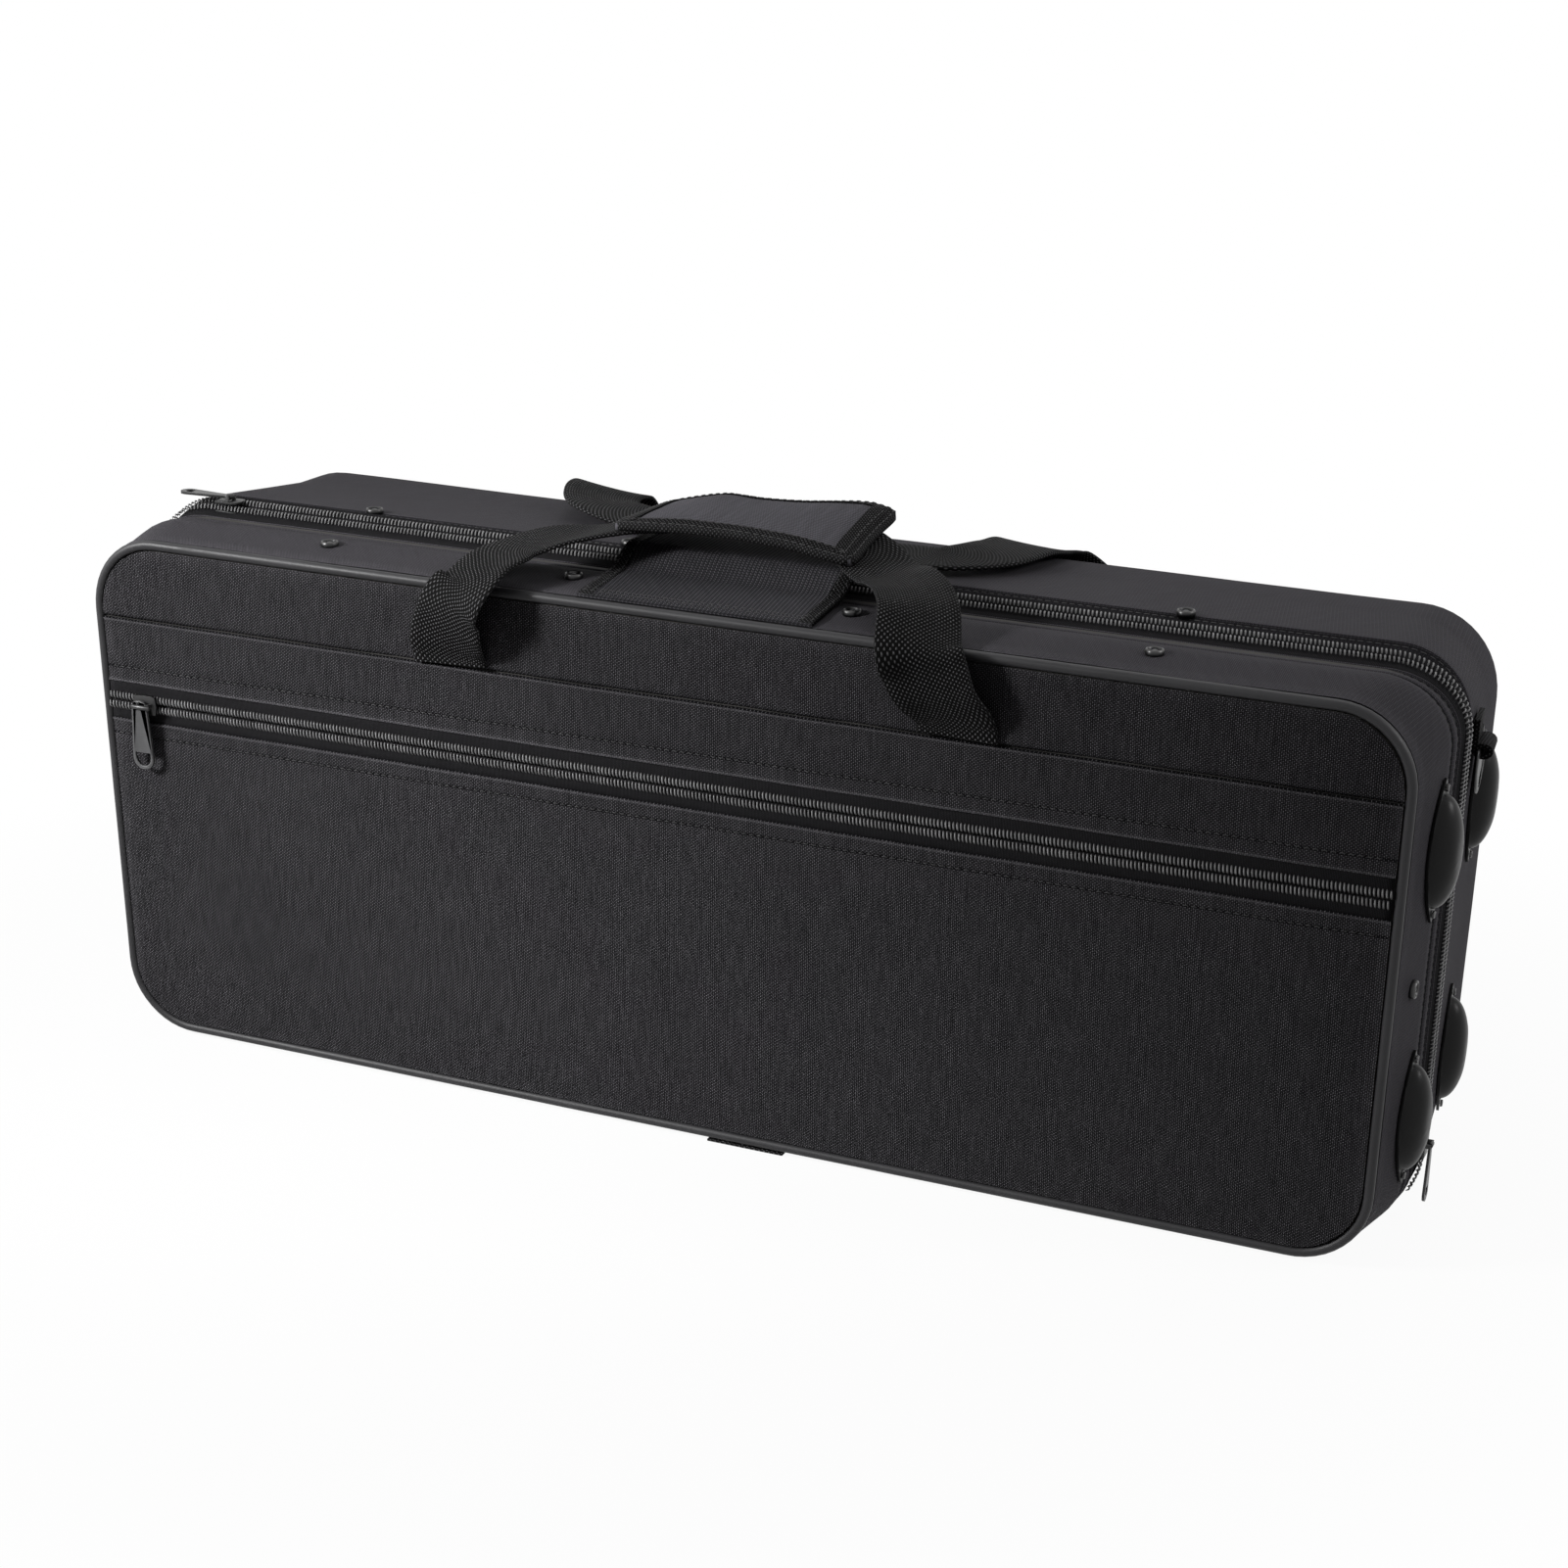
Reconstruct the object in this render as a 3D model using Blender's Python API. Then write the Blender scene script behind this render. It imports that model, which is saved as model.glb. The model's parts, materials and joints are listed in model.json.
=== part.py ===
# Alto saxophone case, standing on its long hinge side.
# Metres, +Z up, +X along the case towards the end with the bumpers, -Y is the pocket face.
# The origin is the middle of the surface that the case stands on.

import math

import bmesh
import bpy
from mathutils import Matrix, Vector
from mathutils.geometry import tessellate_polygon

# Case
CASE_LENGTH = 0.660
CASE_HEIGHT = 0.262
CASE_DEPTH = 0.190
LID_DEPTH = 0.068              # front plane to the zip line
FRONT_CORNER_RADIUS = 0.038
ZIP_CORNER_RADIUS = 0.030
BACK_CORNER_RADIUS = 0.040
BACK_EDGE_RADIUS = 0.024       # soft edge round the back panel
GAP = 0.0003                   # between pieces that touch
OVERRUN = 0.010                # how far a cutter passes the piece that it cuts
CORNER_STEPS = 6

# Cloth cover
CLOTH = 0.0012
ZIP_CROWN = 0.005              # how far the cover swells at the zip
LID_CROWN_START = 0.012        # from the front plane
BASE_CROWN_SHARE = 0.34375     # it ends in the flat between the bumpers and the soft back edge
EDGE_DROP = 0.001              # the gusset draws in at the piping
BOTTOM_EDGE_DROP = 0.002
BACK_EDGE_STEPS = 5

# Shells and foam
SHELL_WALL = 0.004
SHELL_FRONT_WALL = 0.012
FOAM_CLEARANCE = 0.0005
FOAM_RIM = 0.010               # the foam lies below the shell's rim
LID_FOAM = 0.040
LID_HOLLOW = 0.026

# Instrument bed: places from the middle of the foam, along X and Z
BODY_LEFT = -0.268
BODY_RIGHT = 0.210
BODY_Z = -0.050
BODY_LEFT_RADIUS = 0.036
BODY_RIGHT_RADIUS = 0.049
BODY_DEPTH = 0.070
BELL_Z = 0.045
BELL_LEFT = -0.010
BELL_LEFT_RADIUS = 0.062
BELL_RIGHT_RADIUS = 0.044
BELL_DEPTH = 0.088
BOW_X = 0.214
BOW_RADIUS = 0.088
BOW_DEPTH = 0.078
NECK_LEFT = -0.272
NECK_RIGHT = -0.170
NECK_Z = 0.070
NECK_RADIUS = 0.030
NECK_DEPTH = 0.055
MOUTHPIECE_X = -0.100
MOUTHPIECE_RADIUS = 0.019
MOUTHPIECE_HALF_HEIGHT = 0.026
MOUTHPIECE_Z = 0.068
MOUTHPIECE_DEPTH = 0.045
HOLLOW_FILLET = 0.010
HOLLOW_STEPS = 8

# Piping and front panels
PIPE_RADIUS = 0.0024
PIPE_SIDES = 8
PANEL_INSET = 0.0006           # panel face behind the front of the piping
SEAM_DROP = 0.0415             # from the top of the case; the handle straps are sewn into this seam
SEAM_RIDGE = 0.0006
SEAM_RIDGE_WIDTH = 0.0030
POCKET_ZIP_DROP = 0.042        # from the seam
POCKET_ZIP_OPENING = 0.0185    # between the two folded welts
WELT_WIDTH = 0.0035
POCKET_BORDER = 0.012
POCKET_DEPTH = 0.008
POCKET_HEADROOM = 0.0285       # the pocket reaches this far above its zip
POCKET_CORNER = 0.020

# Zips
TAPE = 0.0008
TAPE_SINK = 0.0004             # tape face below the cloth beside it
TAPE_WIDTH = 0.0087            # from the zip line to the cloth edge
TAPE_CENTRE_GAP = 0.0009       # half the space between the two tapes
TOOTH_PITCH = 0.009
TOOTH_TIP = 0.0009             # tip of a tooth to the zip line
TOOTH_VALLEY = 0.0019
TOOTH_ROOT = 0.0034
TOOTH_PEAK = 0.0021
TOOTH_HEIGHT = 0.0020
TOOTH_LOW = 0.0010
ZIP_END_ANGLE = math.radians(28)   # how far the teeth run into the two bottom corners

# Zip sliders
SLIDER_LENGTH = 0.013
SLIDER_NOSE_WIDTH = 0.0100
SLIDER_TAIL_WIDTH = 0.0090
WING = 0.0011
POST_THICKNESS = 0.0010
POST_LENGTH = 0.0040
FLANGE = 0.0008
BAR_RADIUS = 0.0006
BAIL_SPAN = 0.0048             # inside the bail
BAIL_POST = 0.0010
BAIL_STEPS = 10
PULL_LENGTH = 0.029
PULL_THICKNESS = 0.0012
PULL_NECK = 0.0038
PULL_WIDTH = 0.0082
PULL_HOLE = 0.0046
MAIN_SLIDER_LEFT_SPACE = 0.0015    # from the end of the straight run
POCKET_SLIDER_SPACE = 0.0219   # from the end of the pocket zip

# Hinge side
BASE_STRAP_WIDTH = 0.040
BASE_STRAP_X = 0.024
BASE_STRAP_BACK = 0.060

# Bumpers on the right end
BUMPER_LENGTH = 0.066
BUMPER_WIDTH = 0.026
BUMPER_HEIGHT = 0.0115
BUMPER_FLANGE = 0.0014
BUMPER_DOME_LENGTH = 0.053
BUMPER_DOME_WIDTH = 0.0245
BUMPER_STEPS = 20
DOME_STEPS = 4
BUMPER_LOW_Z = 0.064
BUMPER_TOP_DROP = 0.072        # from the top of the case
FRONT_BUMPER_BACK = 0.037      # behind the front plane
REAR_BUMPER_SPACE = 0.027      # between the middles of the ring tab and the bumper
SCREW_RADIUS = 0.0019
SCREW_HEIGHT = 0.0011
SCREW_INSET = 0.0042           # from the bumper's pointed tip

# Rivets
RIVET_RADIUS = 0.0042
RIVET_HEIGHT = 0.0012
RIVET_DISH = 0.0006
LID_RIVET_SHARES = (-0.627, 0.624)     # of half the case's length
BASE_RIVET_SHARES = (-0.658, 0.614)
RIVET_LEFT_SPACE = 0.01291     # between the flap's sides and the middle rivets
LID_RIVET_RIGHT_SPACE = 0.01001
BASE_RIVET_RIGHT_SPACE = 0.00506
LID_RIVET_BACK = 0.0255        # behind the front plane
BASE_RIVET_BACK = 0.0145       # behind the zip line
END_RIVET_DROP = 0.132         # from the top of the case
HEAD_STEPS = 12

# Shoulder strap rings
RING_WIRE = 0.0015
RING_WIDTH = 0.0255            # between wire centres
RING_DROP = 0.021
RING_CORNER = 0.003
RING_SIDES = 6
TAB_WIDTH = 0.0195
TAB_TONGUE = 0.014
TAB_THICKNESS = 0.0018
TAB_BORE = 0.0018
TAB_WALL = 0.0018
TAB_SPACE_SHARE = 0.08146      # of the flat between the zip and the soft back edge
TAB_DROP = 0.0405              # from the top of the case

# Zip flap under the grip
FLAP_LEFT = -0.062
FLAP_RIGHT = 0.055
FLAP = 0.0014
FLAP_BINDING = 0.0004          # stands proud of the flap's cloth
FLAP_BINDING_WIDTH = 0.007
FLAP_REACH = 0.030             # behind the zip line
FLAP_TIP_DROP = 0.0036
FLAP_REST_WIDTH = 0.030        # lies on the gusset for this width
FLAP_STEPS = 10
SLIDER_HEADROOM = 0.0004

# Handles
WEBBING = 0.0020
WEBBING_WIDTH = 0.038
HANDLE_SPACING = 0.254         # between the feet of a strap
FOOT_STANDOFF = 0.0014
FRONT_RUN_AHEAD = 0.0025       # of the zip line
REAR_RUN_BACK = 0.053          # behind the zip line
REAR_LIFT = 0.0025             # bow of the rear strap above the cover
STRAP_STEPS = 48

# Grip pad, wrapped over the front strap like a saddle
PAD_LENGTH = 0.122
PAD_X = -0.001
PAD_AHEAD = 0.031              # its long edges, from the zip line
PAD_BACK = 0.027
PAD_CORE = 0.0064
PAD_EDGE = 0.0030
PAD_ARCH = 0.0055              # rise of its long edges at the middle
CREST_LEFT = 0.005             # rise of the ridge above the edges at the left end
CREST_GAIN = 0.0112            # and what it gains towards the right end
CREST_POWER = 1.6
SADDLE_POWER = 2.2
PAD_FADE = 0.024               # past its ends the strap falls back to its own level
PAD_DRAW_IN = 0.0020
PAD_COLUMNS = 16
PAD_ROWS = 12
PAD_STRAP_GAP = 0.0004

# Colour, roughness and metallic value of each finish
FINISHES = {
    "oxford_cloth": ((0.020, 0.020, 0.022), 0.85, 0.0),
    "gusset_cloth": ((0.016, 0.016, 0.018), 0.80, 0.0),
    "webbing": ((0.010, 0.010, 0.011), 0.90, 0.0),
    "piping_vinyl": ((0.045, 0.045, 0.048), 0.42, 0.0),
    "shell_board": ((0.028, 0.026, 0.024), 0.75, 0.0),
    "plush": ((0.018, 0.017, 0.020), 0.95, 0.0),
    "zip_tape": ((0.012, 0.012, 0.013), 0.88, 0.0),
    "zip_nylon": ((0.030, 0.030, 0.032), 0.38, 0.0),
    "black_metal": ((0.035, 0.035, 0.037), 0.32, 0.85),
    "gunmetal": ((0.110, 0.110, 0.115), 0.34, 0.90),
    "bumper_plastic": ((0.014, 0.014, 0.015), 0.36, 0.0),
}

# Places that follow from the sizes above
HALF_LENGTH = CASE_LENGTH / 2
SEAM_HEIGHT = CASE_HEIGHT - SEAM_DROP
POCKET_ZIP_HEIGHT = SEAM_HEIGHT - POCKET_ZIP_DROP
POCKET_TOP = POCKET_ZIP_HEIGHT + POCKET_HEADROOM
BUMPER_HIGH_Z = CASE_HEIGHT - BUMPER_TOP_DROP
END_RIVET_Z = CASE_HEIGHT - END_RIVET_DROP
TAB_Z = CASE_HEIGHT - TAB_DROP
FRONT_Y = -CASE_DEPTH / 2
BACK_Y = CASE_DEPTH / 2
ZIP_Y = FRONT_Y + LID_DEPTH
LID_SLOT_Y = ZIP_Y - TAPE_WIDTH - GAP
BASE_SLOT_Y = ZIP_Y + TAPE_WIDTH + GAP
CROWN_START_Y = FRONT_Y + LID_CROWN_START
PIPE_BACK_Y = FRONT_Y + 2 * PIPE_RADIUS
FRONT_BUMPER_Y = FRONT_Y + FRONT_BUMPER_BACK
LID_RIVET_Y = FRONT_Y + LID_RIVET_BACK
BASE_RIVET_Y = ZIP_Y + BASE_RIVET_BACK
TAB_Y = BASE_SLOT_Y + TAB_WIDTH / 2 + TAB_SPACE_SHARE * (BACK_Y - BACK_EDGE_RADIUS - BASE_SLOT_Y)
REAR_BUMPER_Y = TAB_Y + REAR_BUMPER_SPACE
REAR_BUMPER_END_Y = REAR_BUMPER_Y + BUMPER_WIDTH / 2
CROWN_END_Y = REAR_BUMPER_END_Y + BASE_CROWN_SHARE * (BACK_Y - BACK_EDGE_RADIUS - REAR_BUMPER_END_Y)
FRONT_RUN_Y = ZIP_Y - FRONT_RUN_AHEAD
REAR_RUN_Y = ZIP_Y + REAR_RUN_BACK
PAD_FRONT_Y = ZIP_Y - PAD_AHEAD
PAD_BACK_Y = ZIP_Y + PAD_BACK
PANEL_FRONT_Y = FRONT_Y + PANEL_INSET
PANEL_BACK_Y = PANEL_FRONT_Y + CLOTH
PANEL_DROP = EDGE_DROP + 2 * PIPE_RADIUS + GAP
SHELL_FRONT_Y = PANEL_BACK_Y + GAP
SHELL_INSET = CLOTH + GAP
FOAM_INSET = SHELL_INSET + SHELL_WALL + FOAM_CLEARANCE
TAPE_OUT = -TAPE_SINK                        # levels measured from the face of the cloth
TOOTH_BASE = TAPE_OUT + GAP
TOOTH_TOP = TOOTH_BASE + TOOTH_HEIGHT
WING_BASE = TOOTH_TOP + GAP
WING_TOP = WING_BASE + WING
KNUCKLE_BORE = BAR_RADIUS + GAP
KNUCKLE_RADIUS = KNUCKLE_BORE + 2 * GAP
PIVOT_LEVEL = WING_TOP + KNUCKLE_RADIUS + GAP
SLIDER_TOP = PIVOT_LEVEL + KNUCKLE_RADIUS
FLAP_LEVEL = CASE_HEIGHT + ZIP_CROWN + SLIDER_TOP + SLIDER_HEADROOM
FRONT_RUN_Z = FLAP_LEVEL + FLAP + FLAP_BINDING + GAP + WEBBING / 2
REAR_RUN_Z = CASE_HEIGHT + ZIP_CROWN / 4 + REAR_LIFT + WEBBING / 2
FOOT_Z = SEAM_HEIGHT + SEAM_RIDGE + WEBBING / 2
PAD_Z = FRONT_RUN_Z + WEBBING / 2 + PAD_STRAP_GAP


def clear_scene():
    for item in list(bpy.data.objects):
        bpy.data.objects.remove(item, do_unlink=True)


def finish_material(name, finish):
    colour, roughness, metallic = FINISHES[finish]
    material = bpy.data.materials.new(name)
    material.use_nodes = True
    shader = material.node_tree.nodes["Principled BSDF"]
    shader.inputs["Base Color"].default_value = (*colour, 1)
    shader.inputs["Roughness"].default_value = roughness
    shader.inputs["Metallic"].default_value = metallic
    return material


def add_object(name, mesh, finish=None, place=None, parent=None, smooth=None):
    item = bpy.data.objects.new(name, mesh)
    bpy.context.scene.collection.objects.link(item)
    if finish:
        mesh.materials.clear()
        mesh.materials.append(finish_material(name, finish))
    if smooth is not None:
        mesh.shade_smooth()
        mesh.set_sharp_from_angle(angle=math.radians(smooth))
    if place is not None:
        item.matrix_world = place
    if parent is not None:
        item.parent = parent
        item.matrix_parent_inverse = Matrix.Identity(4)
        item.matrix_basis = parent.matrix_world.inverted() @ (place or Matrix.Identity(4))
    return item


def add_pivot(name, place, parent=None):
    pivot = bpy.data.objects.new(name, None)
    bpy.context.scene.collection.objects.link(pivot)
    pivot.matrix_world = Matrix.Translation(place) if isinstance(place, Vector) else place
    bpy.context.view_layer.update()
    if parent is not None:
        world = pivot.matrix_world.copy()
        pivot.parent = parent
        pivot.matrix_parent_inverse = Matrix.Identity(4)
        pivot.matrix_basis = parent.matrix_world.inverted() @ world
        bpy.context.view_layer.update()
    return pivot


def finish_mesh(name, shape):
    bmesh.ops.recalc_face_normals(shape, faces=shape.faces)
    mesh = bpy.data.meshes.new(name)
    shape.to_mesh(mesh)
    shape.free()
    return mesh


# A closed body from rings of points. Open at its ends it is capped; cyclic, its last ring meets the first.
def ring_mesh(name, rings, cyclic=False):
    shape = bmesh.new()
    loops = [[shape.verts.new(point) for point in ring] for ring in rings]
    pairs = list(zip(loops, loops[1:]))
    if cyclic:
        pairs.append((loops[-1], loops[0]))
    else:
        shape.faces.new(loops[0])
        shape.faces.new(list(reversed(loops[-1])))
    for first, second in pairs:
        for index in range(len(first)):
            after = (index + 1) % len(first)
            shape.faces.new((first[index], first[after], second[after], second[index]))
    return finish_mesh(name, shape)


# A flat plate, with holes, cut from outlines in its own XY plane and lying on z = 0
def plate_mesh(name, outline, thickness, holes=()):
    shape = bmesh.new()
    loops = [list(outline)] + [list(hole) for hole in holes]
    triangles = tessellate_polygon([[Vector((x, y, 0)) for x, y in loop] for loop in loops])
    flat = [point for loop in loops for point in loop]
    low = [shape.verts.new((x, y, 0)) for x, y in flat]
    high = [shape.verts.new((x, y, thickness)) for x, y in flat]
    for triangle in triangles:
        shape.faces.new([low[index] for index in triangle])
        shape.faces.new([high[index] for index in reversed(triangle)])
    start = 0
    for loop in loops:
        for index in range(len(loop)):
            here = start + index
            after = start + (index + 1) % len(loop)
            shape.faces.new((low[here], low[after], high[after], high[here]))
        start += len(loop)
    return finish_mesh(name, shape)


def box_mesh(name, low, high):
    outline = [(low[0], low[1]), (high[0], low[1]), (high[0], high[1]), (low[0], high[1])]
    mesh = plate_mesh(name, outline, high[2] - low[2])
    mesh.transform(Matrix.Translation((0, 0, low[2])))
    return mesh


def arc(centre, radius, start, end, steps):
    angles = [start + (end - start) * step / steps for step in range(steps + 1)]
    return [(centre[0] + radius * math.cos(a), centre[1] + radius * math.sin(a)) for a in angles]


# One mesh from several by exact Booleans, evaluated through modifiers and then tidied away
def boolean_mesh(name, mesh, others, operation):
    item = add_object(name + "_work", mesh)
    cutters = []
    for other in others:
        cutter = add_object(name + "_cutter", other)
        cutter.hide_render = True
        cutter.display_type = "WIRE"
        modifier = item.modifiers.new("Cut", "BOOLEAN")
        modifier.operation = operation
        modifier.solver = "EXACT"
        modifier.object = cutter
        cutters.append(cutter)
    graph = bpy.context.evaluated_depsgraph_get()
    result = bpy.data.meshes.new_from_object(item.evaluated_get(graph))
    result.name = name
    for used in [item] + cutters:
        bpy.data.objects.remove(used, do_unlink=True)
    return result


# The case outline: points in the XZ plane with their outward normals
def outline(radius):
    corners = [
        (HALF_LENGTH - radius, radius, -90), (HALF_LENGTH - radius, CASE_HEIGHT - radius, 0),
        (radius - HALF_LENGTH, CASE_HEIGHT - radius, 90), (radius - HALF_LENGTH, radius, 180),
    ]
    points = []
    for x, z, first in corners:
        for step in range(CORNER_STEPS + 1):
            angle = math.radians(first + 90 * step / CORNER_STEPS)
            normal = (math.cos(angle), math.sin(angle))
            points.append((x + radius * normal[0], z + radius * normal[1], normal))
    return points


# What swells or draws in round the sides and top fades away under the case, which stays flat
def level(normal, sides, bottom):
    share = 1 if normal[1] >= 0 else abs(normal[0])
    return bottom + (sides - bottom) * share


def case_ring(y, radius, sides, bottom):
    ring = []
    for x, z, normal in outline(radius):
        out = level(normal, sides, bottom)
        ring.append((x + normal[0] * out, y, z + normal[1] * out))
    return ring


def blend(start, end, share):
    return start + (end - start) * share


# The soft back edge: rings that turn inwards from the sides to the back panel
def back_edge_rings(inset):
    rings = []
    radius = BACK_EDGE_RADIUS - inset
    for step in range(BACK_EDGE_STEPS + 1):
        angle = math.pi / 2 * step / BACK_EDGE_STEPS
        draw = -inset - radius * (1 - math.cos(angle))
        y = BACK_Y - BACK_EDGE_RADIUS + radius * math.sin(angle)
        rings.append(case_ring(y, BACK_CORNER_RADIUS, draw, draw))
    return rings


def cover_crown(y):
    if y < ZIP_Y:
        return ZIP_CROWN * max(0, (y - CROWN_START_Y) / (LID_SLOT_Y - CROWN_START_Y))
    return ZIP_CROWN * max(0, (CROWN_END_Y - y) / (CROWN_END_Y - BASE_SLOT_Y))


# A frame on the cover: its Z axis points out of the cloth, its X axis along the side's length
def cover_frame(side, along, y):
    slope = ZIP_CROWN / (LID_SLOT_Y - CROWN_START_Y)
    if y > ZIP_Y:
        slope = -ZIP_CROWN / (CROWN_END_Y - BASE_SLOT_Y)
    tilt = math.atan(slope)
    if side == "top":
        place = Vector((along, y, CASE_HEIGHT + cover_crown(y)))
        turn = Matrix.Rotation(tilt, 4, "X")
    else:
        sign = 1 if side == "right" else -1
        place = Vector((sign * (HALF_LENGTH + cover_crown(y)), y, along))
        out = Vector((sign * math.cos(tilt), -math.sin(tilt), 0))
        up = Vector((0, 0, 1))
        turn = Matrix((up, out.cross(up), out)).transposed().to_4x4()
    return Matrix.Translation(place) @ turn


def build_front_shell():
    front = -(EDGE_DROP + CLOTH + GAP)
    front_low = -(BOTTOM_EDGE_DROP + CLOTH + GAP)
    panel_low = -(PANEL_DROP + BOTTOM_EDGE_DROP - EDGE_DROP)
    inner_front_y = SHELL_FRONT_Y + SHELL_FRONT_WALL
    inset = -SHELL_INSET
    inner = -SHELL_INSET - SHELL_WALL
    shoulder_y = PIPE_BACK_Y + GAP
    rim_y = ZIP_Y - GAP
    rings = [
        case_ring(SHELL_FRONT_Y, FRONT_CORNER_RADIUS, -PANEL_DROP, panel_low),
        case_ring(shoulder_y, FRONT_CORNER_RADIUS, -PANEL_DROP, panel_low),
        case_ring(shoulder_y, FRONT_CORNER_RADIUS, front, front_low),
        case_ring(CROWN_START_Y, FRONT_CORNER_RADIUS, inset, inset),
        case_ring(LID_SLOT_Y, ZIP_CORNER_RADIUS, inset, inset),
        case_ring(rim_y, ZIP_CORNER_RADIUS, inset, inset),
        case_ring(rim_y, ZIP_CORNER_RADIUS, inner, inner),
        case_ring(LID_SLOT_Y, ZIP_CORNER_RADIUS, inner, inner),
        case_ring(inner_front_y, FRONT_CORNER_RADIUS, inner, inner),
    ]
    mesh = ring_mesh("front_shell", rings)
    half = HALF_LENGTH - PANEL_DROP - POCKET_BORDER
    low = BOTTOM_EDGE_DROP + PANEL_DROP + POCKET_BORDER
    recess = []
    corners = [(half, low, -90), (half, POCKET_TOP, 0), (-half, POCKET_TOP, 90), (-half, low, 180)]
    for x, z, first in corners:
        centre_x = x - math.copysign(POCKET_CORNER, x)
        centre_z = z + POCKET_CORNER if z == low else z - POCKET_CORNER
        start = math.radians(first)
        recess += arc((centre_x, centre_z), POCKET_CORNER, start, start + math.pi / 2, CORNER_STEPS // 2)
    cutter = plate_mesh("pocket_cut", recess, OVERRUN + POCKET_DEPTH)
    cutter.transform(Matrix.Rotation(math.pi / 2, 4, "X"))
    cutter.transform(Matrix.Translation((0, SHELL_FRONT_Y + POCKET_DEPTH, 0)))
    mesh = boolean_mesh("front_shell", mesh, [cutter], "DIFFERENCE")
    return add_object("front_shell", mesh, "shell_board", smooth=35)


def build_rear_shell():
    inset = -SHELL_INSET
    inner = -SHELL_INSET - SHELL_WALL
    rim_y = ZIP_Y + GAP
    outer = [
        case_ring(rim_y, ZIP_CORNER_RADIUS, inset, inset),
        case_ring(BASE_SLOT_Y, ZIP_CORNER_RADIUS, inset, inset),
        case_ring(CROWN_END_Y, BACK_CORNER_RADIUS, inset, inset),
    ] + back_edge_rings(SHELL_INSET)
    inside = [
        case_ring(rim_y, ZIP_CORNER_RADIUS, inner, inner),
        case_ring(BASE_SLOT_Y, ZIP_CORNER_RADIUS, inner, inner),
        case_ring(CROWN_END_Y, BACK_CORNER_RADIUS, inner, inner),
    ] + back_edge_rings(SHELL_INSET + SHELL_WALL)
    mesh = ring_mesh("rear_shell", list(reversed(outer)) + inside)
    return add_object("rear_shell", mesh, "shell_board", smooth=35)


def strap_notch(front, back):
    half = BASE_STRAP_WIDTH / 2 + GAP
    low = (BASE_STRAP_X - half, front, -OVERRUN)
    high = (BASE_STRAP_X + half, back, BOTTOM_EDGE_DROP + CLOTH + GAP / 2)
    return box_mesh("strap_notch", low, high)


def build_front_cover():
    start_y = PIPE_BACK_Y + GAP
    stations = [
        (start_y, FRONT_CORNER_RADIUS, -EDGE_DROP, -BOTTOM_EDGE_DROP),
        (CROWN_START_Y, FRONT_CORNER_RADIUS, 0, 0),
        (LID_SLOT_Y, ZIP_CORNER_RADIUS, ZIP_CROWN, 0),
    ]
    outer = [case_ring(*station) for station in stations]
    inner = [case_ring(y, radius, sides - CLOTH, low - CLOTH) for y, radius, sides, low in stations]
    mesh = ring_mesh("front_cover", outer + list(reversed(inner)), cyclic=True)
    notch = strap_notch(FRONT_Y - OVERRUN, ZIP_Y)
    mesh = boolean_mesh("front_cover", mesh, [notch], "DIFFERENCE")
    return add_object("front_cover", mesh, "gusset_cloth", smooth=35)


def build_rear_cover():
    outer = [
        case_ring(BASE_SLOT_Y, ZIP_CORNER_RADIUS, ZIP_CROWN, 0),
        case_ring(CROWN_END_Y, BACK_CORNER_RADIUS, 0, 0),
    ] + back_edge_rings(0)
    inner = [
        case_ring(BASE_SLOT_Y, ZIP_CORNER_RADIUS, ZIP_CROWN - CLOTH, -CLOTH),
        case_ring(CROWN_END_Y, BACK_CORNER_RADIUS, -CLOTH, -CLOTH),
    ] + back_edge_rings(CLOTH)
    mesh = ring_mesh("rear_cover", list(reversed(outer)) + inner)
    notch = strap_notch(ZIP_Y, BASE_STRAP_BACK + GAP)
    mesh = boolean_mesh("rear_cover", mesh, [notch], "DIFFERENCE")
    return add_object("rear_cover", mesh, "gusset_cloth", smooth=35)


# An outline with two round ends, wide or narrow, along X; inset draws it in
def slot_outline(left, right, left_radius, right_radius, z, inset):
    turn = math.asin((right_radius - left_radius) / (right - left))
    quarter = math.pi / 2
    points = arc((right, z), right_radius - inset, -quarter - turn, quarter + turn, HOLLOW_STEPS)
    points += arc((left, z), left_radius - inset, quarter + turn, 3 * quarter - turn, HOLLOW_STEPS)
    return points


def round_outline(x, z, radius_x, radius_z, inset):
    points = []
    steps = 2 * HOLLOW_STEPS
    for step in range(steps):
        angle = 2 * math.pi * step / steps
        points.append((x + (radius_x - inset) * math.cos(angle), z + (radius_z - inset) * math.sin(angle)))
    return points


# A cutter for a moulded hollow: straight sides and a rounded floor, opening towards -Y
def hollow_mesh(name, make_outline, mouth_y, floor_y):
    sense = 1 if floor_y > mouth_y else -1
    fillet = sense * HOLLOW_FILLET
    levels = [
        (mouth_y - sense * OVERRUN, 0), (floor_y - fillet, 0),
        (floor_y - fillet * (1 - math.sqrt(3) / 2), HOLLOW_FILLET / 2), (floor_y, HOLLOW_FILLET),
    ]
    middle = CASE_HEIGHT / 2
    rings = [[(x, y, middle + z) for x, z in make_outline(inset)] for y, inset in levels]
    return ring_mesh(name, rings)


def bed_hollows(grow):
    return [
        ("body", BODY_DEPTH, lambda inset: slot_outline(
            BODY_LEFT, BODY_RIGHT, BODY_LEFT_RADIUS + grow, BODY_RIGHT_RADIUS + grow, BODY_Z, inset)),
        ("bell", BELL_DEPTH, lambda inset: slot_outline(
            BELL_LEFT, BOW_X, BELL_LEFT_RADIUS + grow, BELL_RIGHT_RADIUS + grow, BELL_Z, inset)),
        ("bow", BOW_DEPTH, lambda inset: round_outline(
            BOW_X, 0, BOW_RADIUS + grow, BOW_RADIUS + grow, inset)),
    ]


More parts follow.
